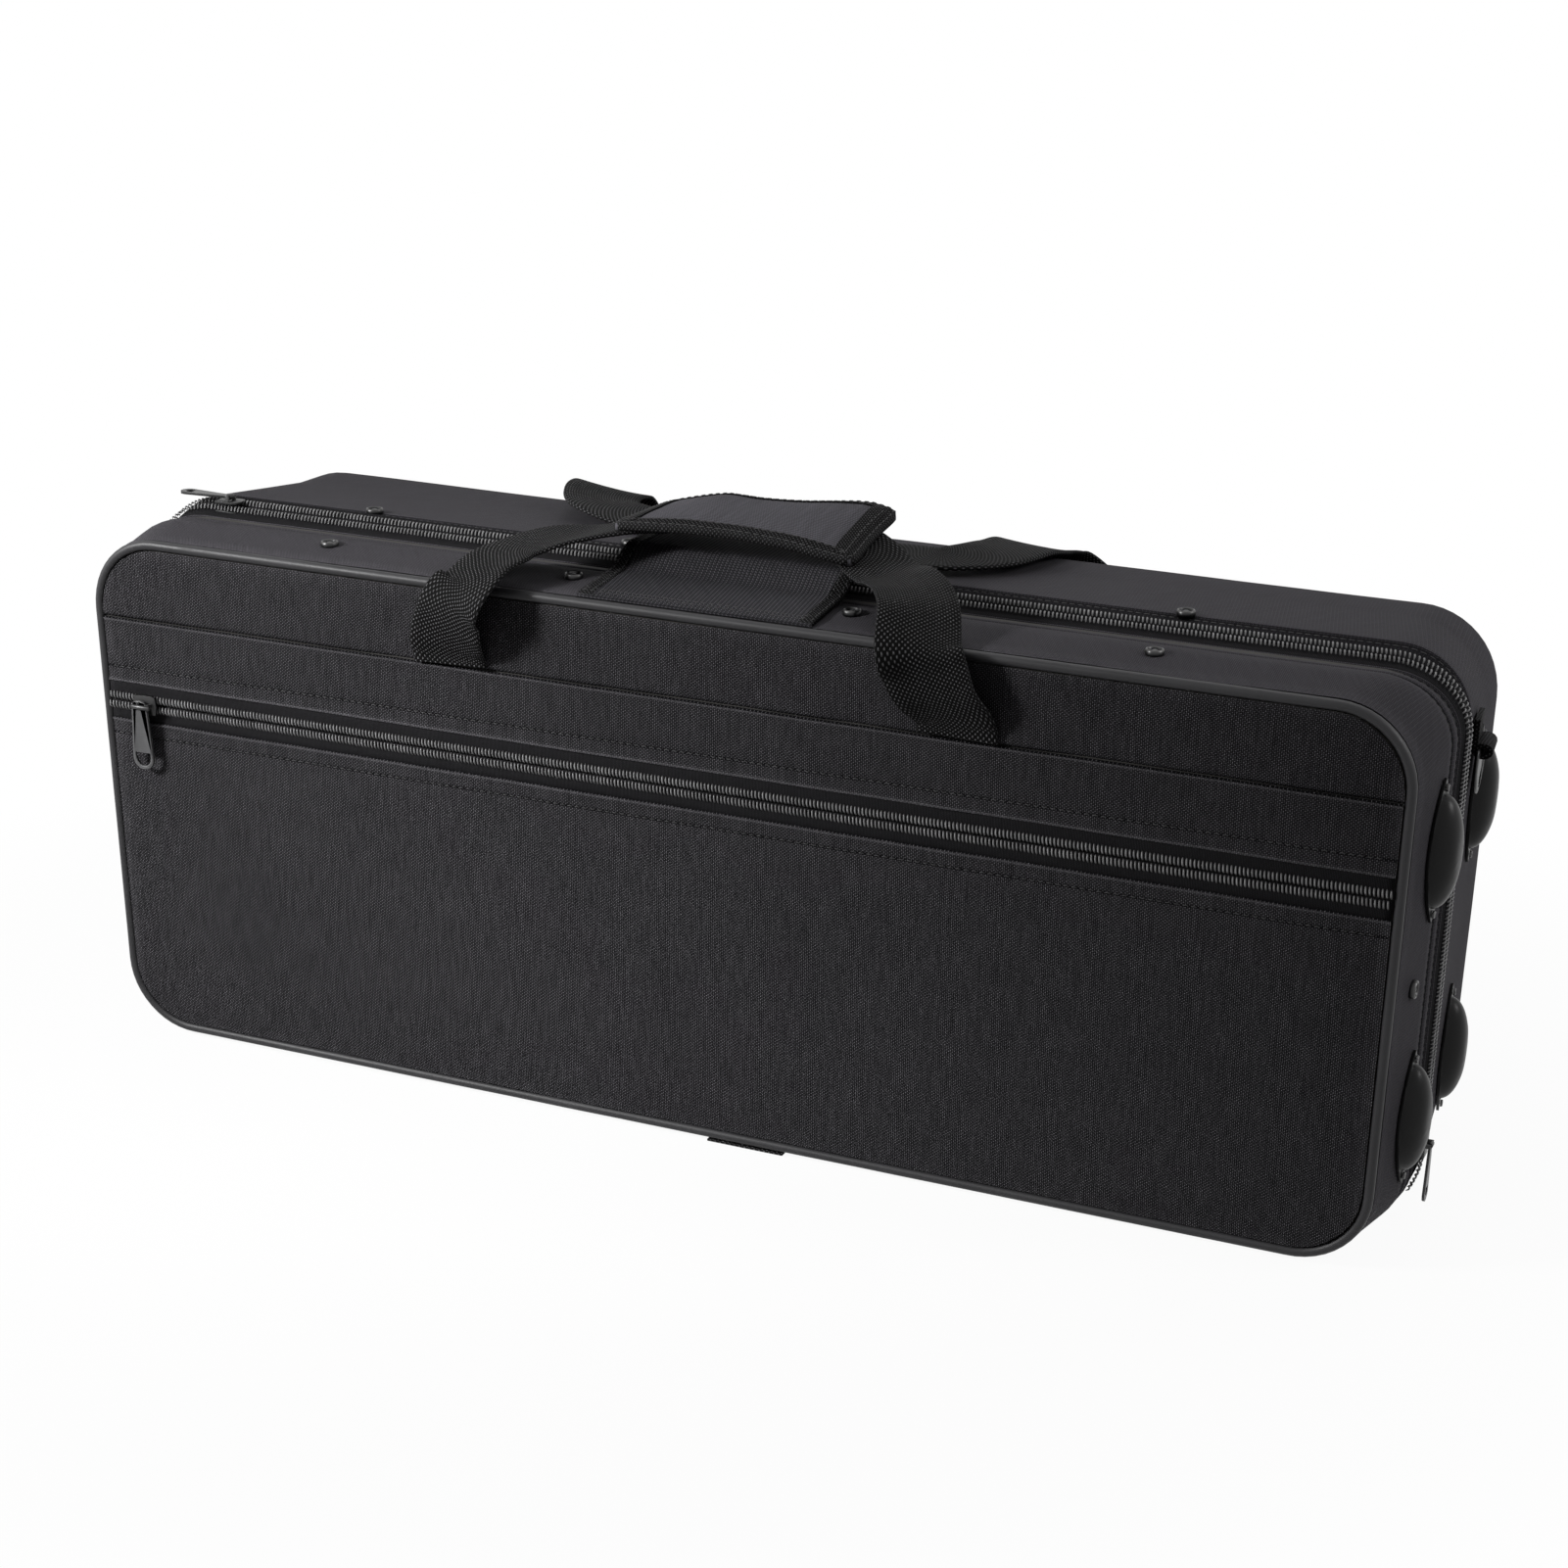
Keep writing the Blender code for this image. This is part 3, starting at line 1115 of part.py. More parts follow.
# Each row is a point of a strap from its foot to its run: share of the way out to the foot,
# share of the way back to the run, share of the rise, how far the width has turned from along
# the case to across it, and how much one edge is tipped up
FRONT_LEFT_SHARES = (
    (1.00, 0.00, 0.00, 0.00, 0), (1.00, -0.01, 0.07, 0.00, 0), (0.992, -0.06, 0.18, 0.00, 0),
    (0.965, -0.12, 0.38, 0.12, 0), (0.942, -0.135, 0.56, 0.19, 0), (0.895, -0.09, 0.73, 0.28, 0),
    (0.865, 0.11, 0.86, 0.44, 0),
    (0.815, 0.34, 0.935, 0.52, 0), (0.709, 0.52, 1.01, 0.62, 0), (0.567, 0.73, 1.00, 0.78, 0),
    (0.394, 0.93, 1.00, 0.92, 0), (0.157, 1.00, 1.00, 1.00, 0),
)
FRONT_RIGHT_SHARES = (
    (1.00, 0.00, 0.00, 0.00, 0), (1.00, -0.01, 0.08, 0.00, 0), (0.99, -0.06, 0.19, 0.00, 0),
    (0.945, -0.15, 0.37, 0.06, 0),
    (0.91, -0.18, 0.553, 0.12, 0), (0.88, -0.175, 0.74, 0.30, 0), (0.835, 0.05, 0.94, 0.64, 0),
    (0.765, 0.29, 1.02, 0.82, 0), (0.675, 0.52, 1.03, 0.88, 0), (0.57, 0.72, 1.00, 0.92, 0),
    (0.44, 0.90, 0.99, 0.96, 0), (0.16, 1.00, 1.00, 1.00, 0),
)
REAR_LEFT_SHARES = (
    (1.00, 0.00, 0.00, 0.00, 0), (1.00, 0.00, 0.10, 0.00, 0), (1.00, -0.01, 0.356, 0.00, 0),
    (1.01, 0.045, 0.66, 0.00, 0),
    (1.03, 0.14, 0.95, 0.02, 0.08), (1.03, 0.33, 1.07, 0.10, 0.18), (1.00, 0.55, 1.08, 0.35, 0.22),
    (0.93, 0.76, 1.08, 0.65, 0.12), (0.82, 0.88, 1.06, 0.90, 0.05), (0.65, 0.94, 1.02, 1.00, 0),
    (0.35, 0.98, 1.00, 1.00, 0),
)
REAR_RIGHT_SHARES = (
    (1.00, 0.00, 0.00, 0.00, 0), (1.00, -0.007, 0.12, 0.00, 0), (0.997, -0.016, 0.22, 0.00, 0),
    (0.94, -0.022, 0.42, 0.00, 0), (0.84, 0.028, 0.68, 0.00, 0),
    (0.79, 0.145, 0.89, 0.05, 0), (0.765, 0.348, 1.00, 0.20, 0), (0.74, 0.60, 1.03, 0.42, 0),
    (0.70, 0.86, 1.05, 0.68, 0), (0.62, 1.06, 1.06, 0.90, 0), (0.51, 1.12, 1.05, 1.00, 0),
    (0.32, 1.03, 1.01, 1.00, 0),
)


def leg_points(shares, side, foot_y, run_y, run_z):
    reach = run_y - foot_y
    points, widths = [], []
    for out, back, risen, turned, tipped in shares:
        x = side * HANDLE_SPACING / 2 * out
        points.append(Vector((x, foot_y + reach * back, FOOT_Z + (run_z - FOOT_Z) * risen)))
        angle = math.pi / 2 * turned
        widths.append(Vector((-side * math.copysign(math.cos(angle), reach), -math.sin(angle), tipped)))
    return points, widths


def build_strap(name, left_shares, right_shares, foot_y, run, pivot, rise=None):
    left, left_widths = leg_points(left_shares, -1, foot_y, run.y, run.z)
    right, right_widths = leg_points(right_shares, 1, foot_y, run.y, run.z)
    points = left + [run] + list(reversed(right))
    widths = left_widths + [Vector((0, -1, 0))] + list(reversed(right_widths))
    mesh = strap_mesh(name, points, widths, rise)
    add_object(name, mesh, "webbing", parent=pivot, smooth=60)


# The grip: a padded cloth saddle of even thickness, thinner at its sewn edge
def build_grip(pivot):
    half = PAD_LENGTH / 2
    middle_y = (PAD_FRONT_Y + PAD_BACK_Y) / 2
    half_width = (PAD_BACK_Y - PAD_FRONT_Y) / 2
    probe = half / PAD_COLUMNS

    def point(u, v, face):
        x = PAD_X + u * (half - PAD_DRAW_IN * (1 - v * v) * abs(u) - PAD_DRAW_IN * v ** 6 * abs(u))
        y = middle_y + v * (half_width - PAD_DRAW_IN * (1 - u * u) * abs(v) - PAD_DRAW_IN * u ** 6 * abs(v))
        low = Vector((x, y, PAD_Z + grip_rise(x, y)))
        if not face:
            return low
        slope_x = (grip_rise(x + probe, y) - grip_rise(x - probe, y)) / (2 * probe)
        slope_y = (grip_rise(x, y + probe) - grip_rise(x, y - probe)) / (2 * probe)
        normal = Vector((-slope_x * (1 - u ** 8), -slope_y, 1)).normalized()
        return low + normal * (PAD_EDGE + (PAD_CORE - PAD_EDGE) * (1 - u ** 6) * (1 - v ** 4))

    shape = bmesh.new()
    grids = []
    for face in (0, 1):
        grid = []
        for row in range(PAD_ROWS + 1):
            v = 2 * row / PAD_ROWS - 1
            grid.append([shape.verts.new(point(2 * column / PAD_COLUMNS - 1, v, face))
                         for column in range(PAD_COLUMNS + 1)])
        grids.append(grid)
    for grid in grids:
        for row in range(PAD_ROWS):
            for column in range(PAD_COLUMNS):
                shape.faces.new((grid[row][column], grid[row][column + 1],
                                 grid[row + 1][column + 1], grid[row + 1][column]))
    border = [(0, column) for column in range(PAD_COLUMNS)]
    border += [(row, PAD_COLUMNS) for row in range(PAD_ROWS)]
    border += [(PAD_ROWS, PAD_COLUMNS - column) for column in range(PAD_COLUMNS)]
    border += [(PAD_ROWS - row, 0) for row in range(PAD_ROWS)]
    low, high = grids
    for index, (row, column) in enumerate(border):
        next_row, next_column = border[(index + 1) % len(border)]
        shape.faces.new((low[row][column], low[next_row][next_column],
                         high[next_row][next_column], high[row][column]))
    add_object("handle_grip", finish_mesh("handle_grip", shape), "oxford_cloth", parent=pivot, smooth=60)


def parent_all(names, pivot):
    bpy.context.view_layer.update()
    for name in names:
        item = bpy.data.objects[name]
        world = item.matrix_world.copy()
        item.parent = pivot
        item.matrix_parent_inverse = Matrix.Identity(4)
        item.matrix_basis = pivot.matrix_world.inverted() @ world


def build_case():
    clear_scene()
    lid = add_pivot("lid_hinge", Vector((0, ZIP_Y, 0)))
    front_foot_y = PANEL_FRONT_Y - FOOT_STANDOFF
    rear_foot_y = BACK_Y + FOOT_STANDOFF
    front_handle = add_pivot("front_handle_hinge", Vector((0, front_foot_y, FOOT_Z)), lid)
    rear_handle = add_pivot("rear_handle_hinge", Vector((0, rear_foot_y, FOOT_Z)))
    build_rear_shell()
    build_rear_cover()
    build_foam_insert()
    build_front_shell()
    build_front_cover()
    build_front_panels()
    build_piping()
    build_lid_foam()
    for name, side in (("front", -1), ("rear", 1)):
        build_zip_tape(name + "_zip_tape", side)
        build_zip_teeth(name + "_zip_teeth", side)
    for name, side in (("lower", -1), ("upper", 1)):
        build_pocket_zip(name, side)
    build_hinge_bands()
    build_base_straps()
    parent_all((
        "front_shell", "front_cover", "pocket_panel", "yoke_panel", "top_panel", "front_piping", "lid_foam",
        "front_zip_tape", "front_zip_teeth", "pocket_zip_tape_lower", "pocket_zip_tape_upper",
        "pocket_zip_teeth_lower", "pocket_zip_teeth_upper", "hinge_band_front", "base_strap_front",
    ), lid)
    build_bumpers(lid)
    build_rivets(lid)
    build_zip_flap(lid)
    build_sliders(lid)
    build_rings()
    front_run = Vector((PAD_X, FRONT_RUN_Y, FRONT_RUN_Z))
    build_strap("handle_strap_front", FRONT_LEFT_SHARES, FRONT_RIGHT_SHARES, front_foot_y, front_run,
                front_handle, grip_rise)
    build_grip(front_handle)
    rear_run = Vector((0, REAR_RUN_Y, REAR_RUN_Z))
    build_strap("handle_strap_rear", REAR_LEFT_SHARES, REAR_RIGHT_SHARES, rear_foot_y, rear_run, rear_handle)


build_case()
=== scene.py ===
# Look of the alto saxophone case: camera, floor, lights, materials and detailed soft pieces.

import json
import math

import bmesh
import bpy
from mathutils import Matrix, Vector, noise
from mathutils.bvhtree import BVHTree

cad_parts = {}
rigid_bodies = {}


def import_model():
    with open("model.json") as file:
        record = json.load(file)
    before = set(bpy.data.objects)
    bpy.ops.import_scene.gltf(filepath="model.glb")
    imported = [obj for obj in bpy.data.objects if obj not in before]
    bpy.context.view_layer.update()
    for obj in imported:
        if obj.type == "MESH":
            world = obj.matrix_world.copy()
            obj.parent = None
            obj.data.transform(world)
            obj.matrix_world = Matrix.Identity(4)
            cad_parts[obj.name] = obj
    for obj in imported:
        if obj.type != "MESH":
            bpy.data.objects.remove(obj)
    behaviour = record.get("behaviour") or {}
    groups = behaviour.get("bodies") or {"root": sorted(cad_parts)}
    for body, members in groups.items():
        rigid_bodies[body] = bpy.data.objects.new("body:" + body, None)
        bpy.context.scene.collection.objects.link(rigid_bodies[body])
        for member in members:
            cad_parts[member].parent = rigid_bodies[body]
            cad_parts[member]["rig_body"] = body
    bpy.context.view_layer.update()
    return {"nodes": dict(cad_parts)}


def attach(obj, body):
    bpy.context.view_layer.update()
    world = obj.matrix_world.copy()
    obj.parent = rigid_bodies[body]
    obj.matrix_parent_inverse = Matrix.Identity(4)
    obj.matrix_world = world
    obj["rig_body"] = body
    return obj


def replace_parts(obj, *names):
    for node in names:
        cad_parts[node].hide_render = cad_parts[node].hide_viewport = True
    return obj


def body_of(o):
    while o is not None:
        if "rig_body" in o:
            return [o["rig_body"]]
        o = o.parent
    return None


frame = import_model()
scene = bpy.context.scene

# The photograph: its size in pixels, and the camera that took it
photo = {
    "pixels": 1601,
    "azimuth": 21.88,
    "elevation": 24.56,
    "roll": 1.39,
    "focalPixels": 2820,
    "centreX": 894,
    "centreY": 1098,
    "offset": (0.04982, -0.00421, 1.42273),
}


def makeCamera(values):
    azimuth = math.radians(values["azimuth"])
    elevation = math.radians(values["elevation"])
    roll = math.radians(values["roll"])
    back = Vector((math.sin(azimuth) * math.cos(elevation), -math.cos(azimuth) * math.cos(elevation),
                   math.sin(elevation)))
    side = Vector((0, 0, 1)).cross(back).normalized()
    up = back.cross(side)
    across = side * math.cos(roll) + up * math.sin(roll)
    upright = up * math.cos(roll) - side * math.sin(roll)
    turn = Matrix((across, upright, back)).transposed()
    camera = bpy.data.objects.new("camera", bpy.data.cameras.new("camera"))
    scene.collection.objects.link(camera)
    camera.matrix_world = Matrix.Translation(turn @ Vector(values["offset"])) @ turn.to_4x4()
    camera.data.sensor_fit = "HORIZONTAL"
    camera.data.sensor_width = 36
    camera.data.lens = values["focalPixels"] / values["pixels"] * 36
    camera.data.shift_x = (values["pixels"] / 2 - values["centreX"]) / values["pixels"]
    camera.data.shift_y = (values["centreY"] - values["pixels"] / 2) / values["pixels"]
    scene.camera = camera


print("camera")
makeCamera(photo)
scene.view_settings.view_transform = "Standard"


# A shader value that can be used in sums; node() makes any other node of the same material
class Socket:
    def __init__(self, tree, source=None):
        self.tree = tree
        self.source = source

    def node(self, kind, settings, sockets, output=0):
        made = self.tree.nodes.new("ShaderNode" + kind)
        for setting, value in settings.items():
            setattr(made, setting, value)
        for place, value in sockets.items():
            if isinstance(value, Socket):
                self.tree.links.new(value.source, made.inputs[place])
            else:
                made.inputs[place].default_value = value
        return Socket(self.tree, made.outputs[output])

    def math(self, operation, first, second=0):
        return self.node("Math", {"operation": operation}, {0: first, 1: second})

    def __add__(self, other):
        return self.math("ADD", self, other)

    def __radd__(self, other):
        return self.math("ADD", other, self)

    def __sub__(self, other):
        return self.math("SUBTRACT", self, other)

    def __rsub__(self, other):
        return self.math("SUBTRACT", other, self)

    def __mul__(self, other):
        return self.math("MULTIPLY", self, other)

    def __rmul__(self, other):
        return self.math("MULTIPLY", other, self)

    def __truediv__(self, other):
        return self.math("DIVIDE", self, other)

    def __rtruediv__(self, other):
        return self.math("DIVIDE", other, self)

    def __pow__(self, other):
        return self.math("POWER", self, other)

    def __gt__(self, other):
        return self.math("GREATER_THAN", self, other)

    def __abs__(self):
        return self.math("ABSOLUTE", self)


def mixColour(share, first, second):
    sockets = {0: share, 6: (*first, 1), 7: (*second, 1)}
    return share.node("Mix", {"data_type": "RGBA"}, sockets, 2)


def newShader(name, look):
    material = bpy.data.materials.new(name)
    material.use_nodes = True
    shader = material.node_tree.nodes["Principled BSDF"]
    for socket in ("Metallic", "Sheen Weight", "Sheen Roughness", "Specular IOR Level"):
        if socket in look:
            shader.inputs[socket].default_value = look[socket]
    return material, Socket(material.node_tree), shader


def plug(shader, name, socket):
    socket.tree.links.new(socket.source, shader.inputs[name])


def plugBump(shader, root, relief, height):
    plug(shader, "Normal", root.node("Bump", {}, {"Strength": 1.0, "Distance": relief, "Height": height}))


def noiseAt(root, vector, scale, detail):
    return root.node("TexNoise", {}, {"Vector": vector, "Scale": scale, "Detail": detail})


def objectPlace(root):
    return root.node("TexCoord", {}, {}, 3)


# Share from the vertex attribute that holds wear together with painted light: painted shade in grooves,
# creases and under folds, and painted highlights on zip teeth and rivet rims
def wearAndPaintedLightShare(root):
    return root.node("Attribute", {"attribute_name": "wearAndPaintedLight"}, {}, 2)


# Noise of the cloth: how often per metre its threads wander, it is mottled and it is fuzzy, and how often
# the streaks change along a thread and from one thread to the next
clothNoise = {"wobble": 45, "mottle": 14, "fuzz": 2200, "along": 0.05, "across": 0.6}
# Scratches of hard surfaces: how they lie, how long and close they are, how rare and how strong
scratches = {"turn": (0.5, 0.3, 0.9), "scale": (60, 1400, 900), "above": 0.62, "gain": 4}


# Woven cloth. The weave follows the "cloth" map, in metres: plain weave, or twill where the look has a slope.
def clothMaterial(name, look):
    material, root, shader = newShader(name, look)
    place = objectPlace(root)
    clothMap = root.node("UVMap", {"uv_map": "cloth"}, {})
    u = root.node("SeparateXYZ", {}, {0: clothMap}, 0)
    v = root.node("SeparateXYZ", {}, {0: clothMap}, 1)
    pitchU, pitchV = look["pitch"]
    wobble = noiseAt(root, place, clothNoise["wobble"], 2) - 0.5
    across = (u + v * look.get("slope", 0)) / pitchU + wobble * look["wobble"]
    waveU = root.math("SINE", across * math.pi)
    waveV = root.math("SINE", (v / pitchV + wobble * look["wobble"]) * math.pi)
    over = waveU * waveV > 0
    warp = abs(waveU) * abs(waveV) ** 0.5
    weft = abs(waveV) * abs(waveU) ** 0.5 * look["weft"]
    thread = (warp * over + weft * (1 - over)) ** look.get("sharp", 1)
    single = {0: across * clothNoise["across"], 1: v / pitchV * clothNoise["along"], 2: wobble}
    streak = noiseAt(root, root.node("CombineXYZ", {}, single), 1, 2)
    mottle = noiseAt(root, place, clothNoise["mottle"], 4)
    fuzz = noiseAt(root, place, clothNoise["fuzz"], 2)
    # The attribute lightens the tone where the cloth is worn or painted as lit, and darkens it where shade is
    # painted
    wearAndPaintedLight = wearAndPaintedLightShare(root)
    tone = thread * (1 - look["streak"] + streak * 2 * look["streak"])
    tone = tone * (1 - look["mottle"] + mottle * 2 * look["mottle"]) * (0.8 + fuzz * 0.4)
    tone = root.node("Clamp", {}, {0: tone + wearAndPaintedLight * look["wearAndPaintedLight"] * (0.4 + streak)})
    plug(shader, "Base Color", mixColour(tone, look["dark"], look["light"]))
    plug(shader, "Roughness", look["roughness"] + (mottle - 0.5) * 0.12 - wearAndPaintedLight * 0.08)
    plugBump(shader, root, look["relief"], thread + fuzz * 0.2)
    return material


# Moulded plastic, vinyl and metal: mottled, with scuffs that are lighter and rougher
def hardMaterial(name, look):
    material, root, shader = newShader(name, look)
    place = objectPlace(root)
    mottle = noiseAt(root, place, look["grain"] / 20, 4)
    grain = noiseAt(root, place, look["grain"], 3)
    brushed = {0: place, "Rotation": scratches["turn"], "Scale": scratches["scale"]}
    streak = noiseAt(root, root.node("Mapping", {}, brushed), 1, 2)
    scratch = root.math("MAXIMUM", streak - scratches["above"], 0) * scratches["gain"]
    # The attribute lightens worn places and painted highlights, and darkens painted shade
    light = scratch * look["scuff"] + wearAndPaintedLightShare(root) * look["wearAndPaintedLight"] + (mottle - 0.5) * 0.6 + 0.3
    plug(shader, "Base Color", mixColour(root.node("Clamp", {}, {0: light}), look["dark"], look["light"]))
    rough = look["roughness"] + (grain - 0.5) * 0.10 + scratch * 0.25 + (mottle - 0.5) * 0.10
    plug(shader, "Roughness", rough)
    plugBump(shader, root, look["relief"], grain - scratch * 0.6)
    return material


clothShine = {"Specular IOR Level": 0.03}     # the same on every cloth
# Colours between the threads and on their crests, thread pitches in metres and the rest of each look
clothLooks = {
    "oxford": {
        "dark": (0.004, 0.004, 0.0045), "light": (0.152, 0.147, 0.158), "pitch": (0.00094, 0.00078),
        "sharp": 2.4, "weft": 0.62, "wobble": 0.25, "streak": 0.75, "mottle": 0.16, "wearAndPaintedLight": 0.40,
        "roughness": 0.80, "relief": 0.00034,
    },
    "gusset": {
        "dark": (0.008, 0.0077, 0.0087), "light": (0.084, 0.080, 0.089), "pitch": (0.00085, 0.00110),
        "slope": 0.7, "weft": 0.8, "wobble": 0.15, "streak": 0.25, "mottle": 0.10, "wearAndPaintedLight": 0.45,
        "roughness": 0.72, "relief": 0.00008,
    },
    "webbing": {
        "dark": (0.002, 0.002, 0.002), "light": (0.165, 0.164, 0.169), "pitch": (0.00130, 0.00110),
        "sharp": 2.6, "weft": 0.10, "wobble": 0.22, "streak": 0.30, "mottle": 0.15, "wearAndPaintedLight": 0.12,
        "roughness": 0.70, "relief": 0.00075,
    },
    "binding": {
        "dark": (0.002, 0.002, 0.002), "light": (0.090, 0.089, 0.092), "pitch": (0.00105, 0.00095),
        "sharp": 2.0, "weft": 0.20, "wobble": 0.2, "streak": 0.30, "mottle": 0.12, "wearAndPaintedLight": 0.20,
        "roughness": 0.70, "relief": 0.00045,
    },
    "padCloth": {
        "dark": (0.024, 0.023, 0.026), "light": (0.125, 0.122, 0.136), "pitch": (0.00060, 0.00150),
        "weft": 0.7, "wobble": 0.2, "streak": 0.60, "mottle": 0.12, "wearAndPaintedLight": 0.30,
        "roughness": 0.74, "relief": 0.00010,
    },
    "flapCloth": {
        "dark": (0.008, 0.008, 0.009), "light": (0.105, 0.102, 0.112), "pitch": (0.00100, 0.00140),
        "sharp": 1.3, "slope": 0.8, "weft": 0.40, "wobble": 0.15, "streak": 0.35, "mottle": 0.12,
        "wearAndPaintedLight": 0.30, "roughness": 0.78, "relief": 0.00018,
    },
    "tape": {
        "dark": (0.004, 0.004, 0.0042), "light": (0.034, 0.033, 0.036), "pitch": (0.0007, 0.0005),
        "weft": 0.8, "wobble": 0.1, "streak": 0.2, "mottle": 0.10, "wearAndPaintedLight": 0.3,
        "roughness": 0.85, "relief": 0.00012,
    },
    "plush": {
        "dark": (0.012, 0.011, 0.013), "light": (0.060, 0.057, 0.066), "pitch": (0.0009, 0.0009),
        "weft": 1.0, "wobble": 2.5, "streak": 0.5, "mottle": 0.30, "wearAndPaintedLight": 0.3,
        "roughness": 0.95, "relief": 0.00040, "Sheen Weight": 0.5, "Sheen Roughness": 0.4,
    },
}
# Colours of the plain surface and of the lighter one, which shows wear and painted highlights, grain per
# metre and the rest of each look
hardLooks = {
    "piping": {
        "dark": (0.006, 0.006, 0.0065), "light": (0.032, 0.031, 0.034), "grain": 700, "scuff": 0.3,
        "wearAndPaintedLight": 0.4, "roughness": 0.50, "relief": 0.00003, "Specular IOR Level": 0.30,
    },
    # The nylon's lighter colour is the painted highlight on the crests of the zip's loops
    "nylon": {
        "dark": (0.003, 0.003, 0.003), "light": (0.270, 0.268, 0.272), "grain": 1500, "scuff": 0.2,
        "wearAndPaintedLight": 1.0, "roughness": 0.38, "relief": 0.00002, "Specular IOR Level": 0.3,
    },
    "thread": {
        "dark": (0.005, 0.005, 0.005), "light": (0.035, 0.034, 0.036), "grain": 3000, "scuff": 0.5,
        "wearAndPaintedLight": 0.5, "roughness": 0.55, "relief": 0.00004, "Specular IOR Level": 0.4,
    },
    "blackMetal": {
        "dark": (0.006, 0.006, 0.006), "light": (0.040, 0.040, 0.041), "grain": 1800, "scuff": 0.5,
        "wearAndPaintedLight": 0.5, "roughness": 0.36, "relief": 0.00003, "Metallic": 0.45,
    },
    "paint": {
        "dark": (0.040, 0.040, 0.041), "light": (0.105, 0.105, 0.108), "grain": 1500, "scuff": 0.5,
        "wearAndPaintedLight": 0.5, "roughness": 0.46, "relief": 0.00003, "Specular IOR Level": 0.25,
    },
    "gunmetal": {
        "dark": (0.014, 0.014, 0.015), "light": (0.095, 0.094, 0.093), "grain": 1600, "scuff": 0.6,
        "wearAndPaintedLight": 0.6, "roughness": 0.36, "relief": 0.00003, "Metallic": 0.9,
    },
    "bumper": {
        "dark": (0.004, 0.004, 0.004), "light": (0.016, 0.016, 0.0165), "grain": 1400, "scuff": 0.6,
        "wearAndPaintedLight": 0.5, "roughness": 0.36, "relief": 0.000012, "Specular IOR Level": 0.14,
    },
    "board": {
        "dark": (0.016, 0.015, 0.014), "light": (0.042, 0.040, 0.037), "grain": 700, "scuff": 0.8,
        "wearAndPaintedLight": 0.4, "roughness": 0.75, "relief": 0.0001, "Specular IOR Level": 0.3,
    },
}
print("materials")
materials = {name: clothMaterial(name, {**clothShine, **look}) for name, look in clothLooks.items()}
materials.update({name: hardMaterial(name, look) for name, look in hardLooks.items()})

# The case, in metres, as the CAD has it
case = {
    "length": 0.660, "height": 0.262, "depth": 0.190, "lidDepth": 0.068,
    "frontCorner": 0.038, "zipCorner": 0.030, "backCorner": 0.040, "backEdge": 0.024,
    "zipCrown": 0.005, "lidCrownStart": 0.012, "baseCrownWidth": 0.077,
    "edgeDrop": 0.001, "bottomDrop": 0.002,
    "pipeRadius": 0.0024, "panelInset": 0.0006, "panelMargin": 0.0061, "tapeWidth": 0.0087, "tapeGap": 0.0003,
    "seam": 0.2205, "pocketZip": 0.1785, "pocketOpening": 0.0185,
}
halfLength = case["length"] / 2
frontY = -case["depth"] / 2
backY = case["depth"] / 2
zipY = frontY + case["lidDepth"]
lidEdgeY = zipY - case["tapeWidth"] - case["tapeGap"]
baseEdgeY = zipY + case["tapeWidth"] + case["tapeGap"]
crownStartY = frontY + case["lidCrownStart"]
crownEndY = zipY + case["baseCrownWidth"]
pipeBackY = frontY + 2 * case["pipeRadius"]
panelY = frontY + case["panelInset"]
panelHalf = halfLength - case["panelMargin"]
down = Vector((0, 0, -1))


def blend(first, second, share):
    return first + (second - first) * share


def ripple(point, scale, depth):
    return noise.noise(Vector(point) * scale) * depth


# A sheet of faces from rows of (point, cloth place, wear and painted light); its map is in metres
def gridPiece(name, rows, body, material, turned=False):
    shape = bmesh.new()
    layer = shape.loops.layers.uv.new("cloth")
    wearAndPaintedLightLayer = shape.verts.layers.float.new("wearAndPaintedLight")
    grid, places = [], {}
    for row in rows:
        line = []
        for point, place, wearAndPaintedLight in row:
            corner = shape.verts.new(point)
            corner[wearAndPaintedLightLayer] = wearAndPaintedLight
            places[corner] = place
            line.append(corner)
        grid.append(line)
    for low, high in zip(grid, grid[1:]):
        for index in range(len(low) - 1):
            corners = (low[index], low[index + 1], high[index + 1], high[index])
            face = shape.faces.new(tuple(reversed(corners)) if turned else corners)
            face.smooth = True
            for loop in face.loops:
                loop[layer].uv = places[loop.vert]
    return addPiece(name, shape, body, material)


def addPiece(name, shape, body, material):
    mesh = bpy.data.meshes.new(name)
    shape.to_mesh(mesh)
    shape.free()
    mesh.materials.append(materials[material])
    piece = bpy.data.objects.new(name, mesh)
    scene.collection.objects.link(piece)
    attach(piece, body)
    return piece


def newRings():
    shape = bmesh.new()
    shape.verts.layers.float.new("wearAndPaintedLight")
    return shape


def ringPiece(name, shape, body, material):
    bmesh.ops.recalc_face_normals(shape, faces=shape.faces)
    return addPiece(name, shape, body, material)


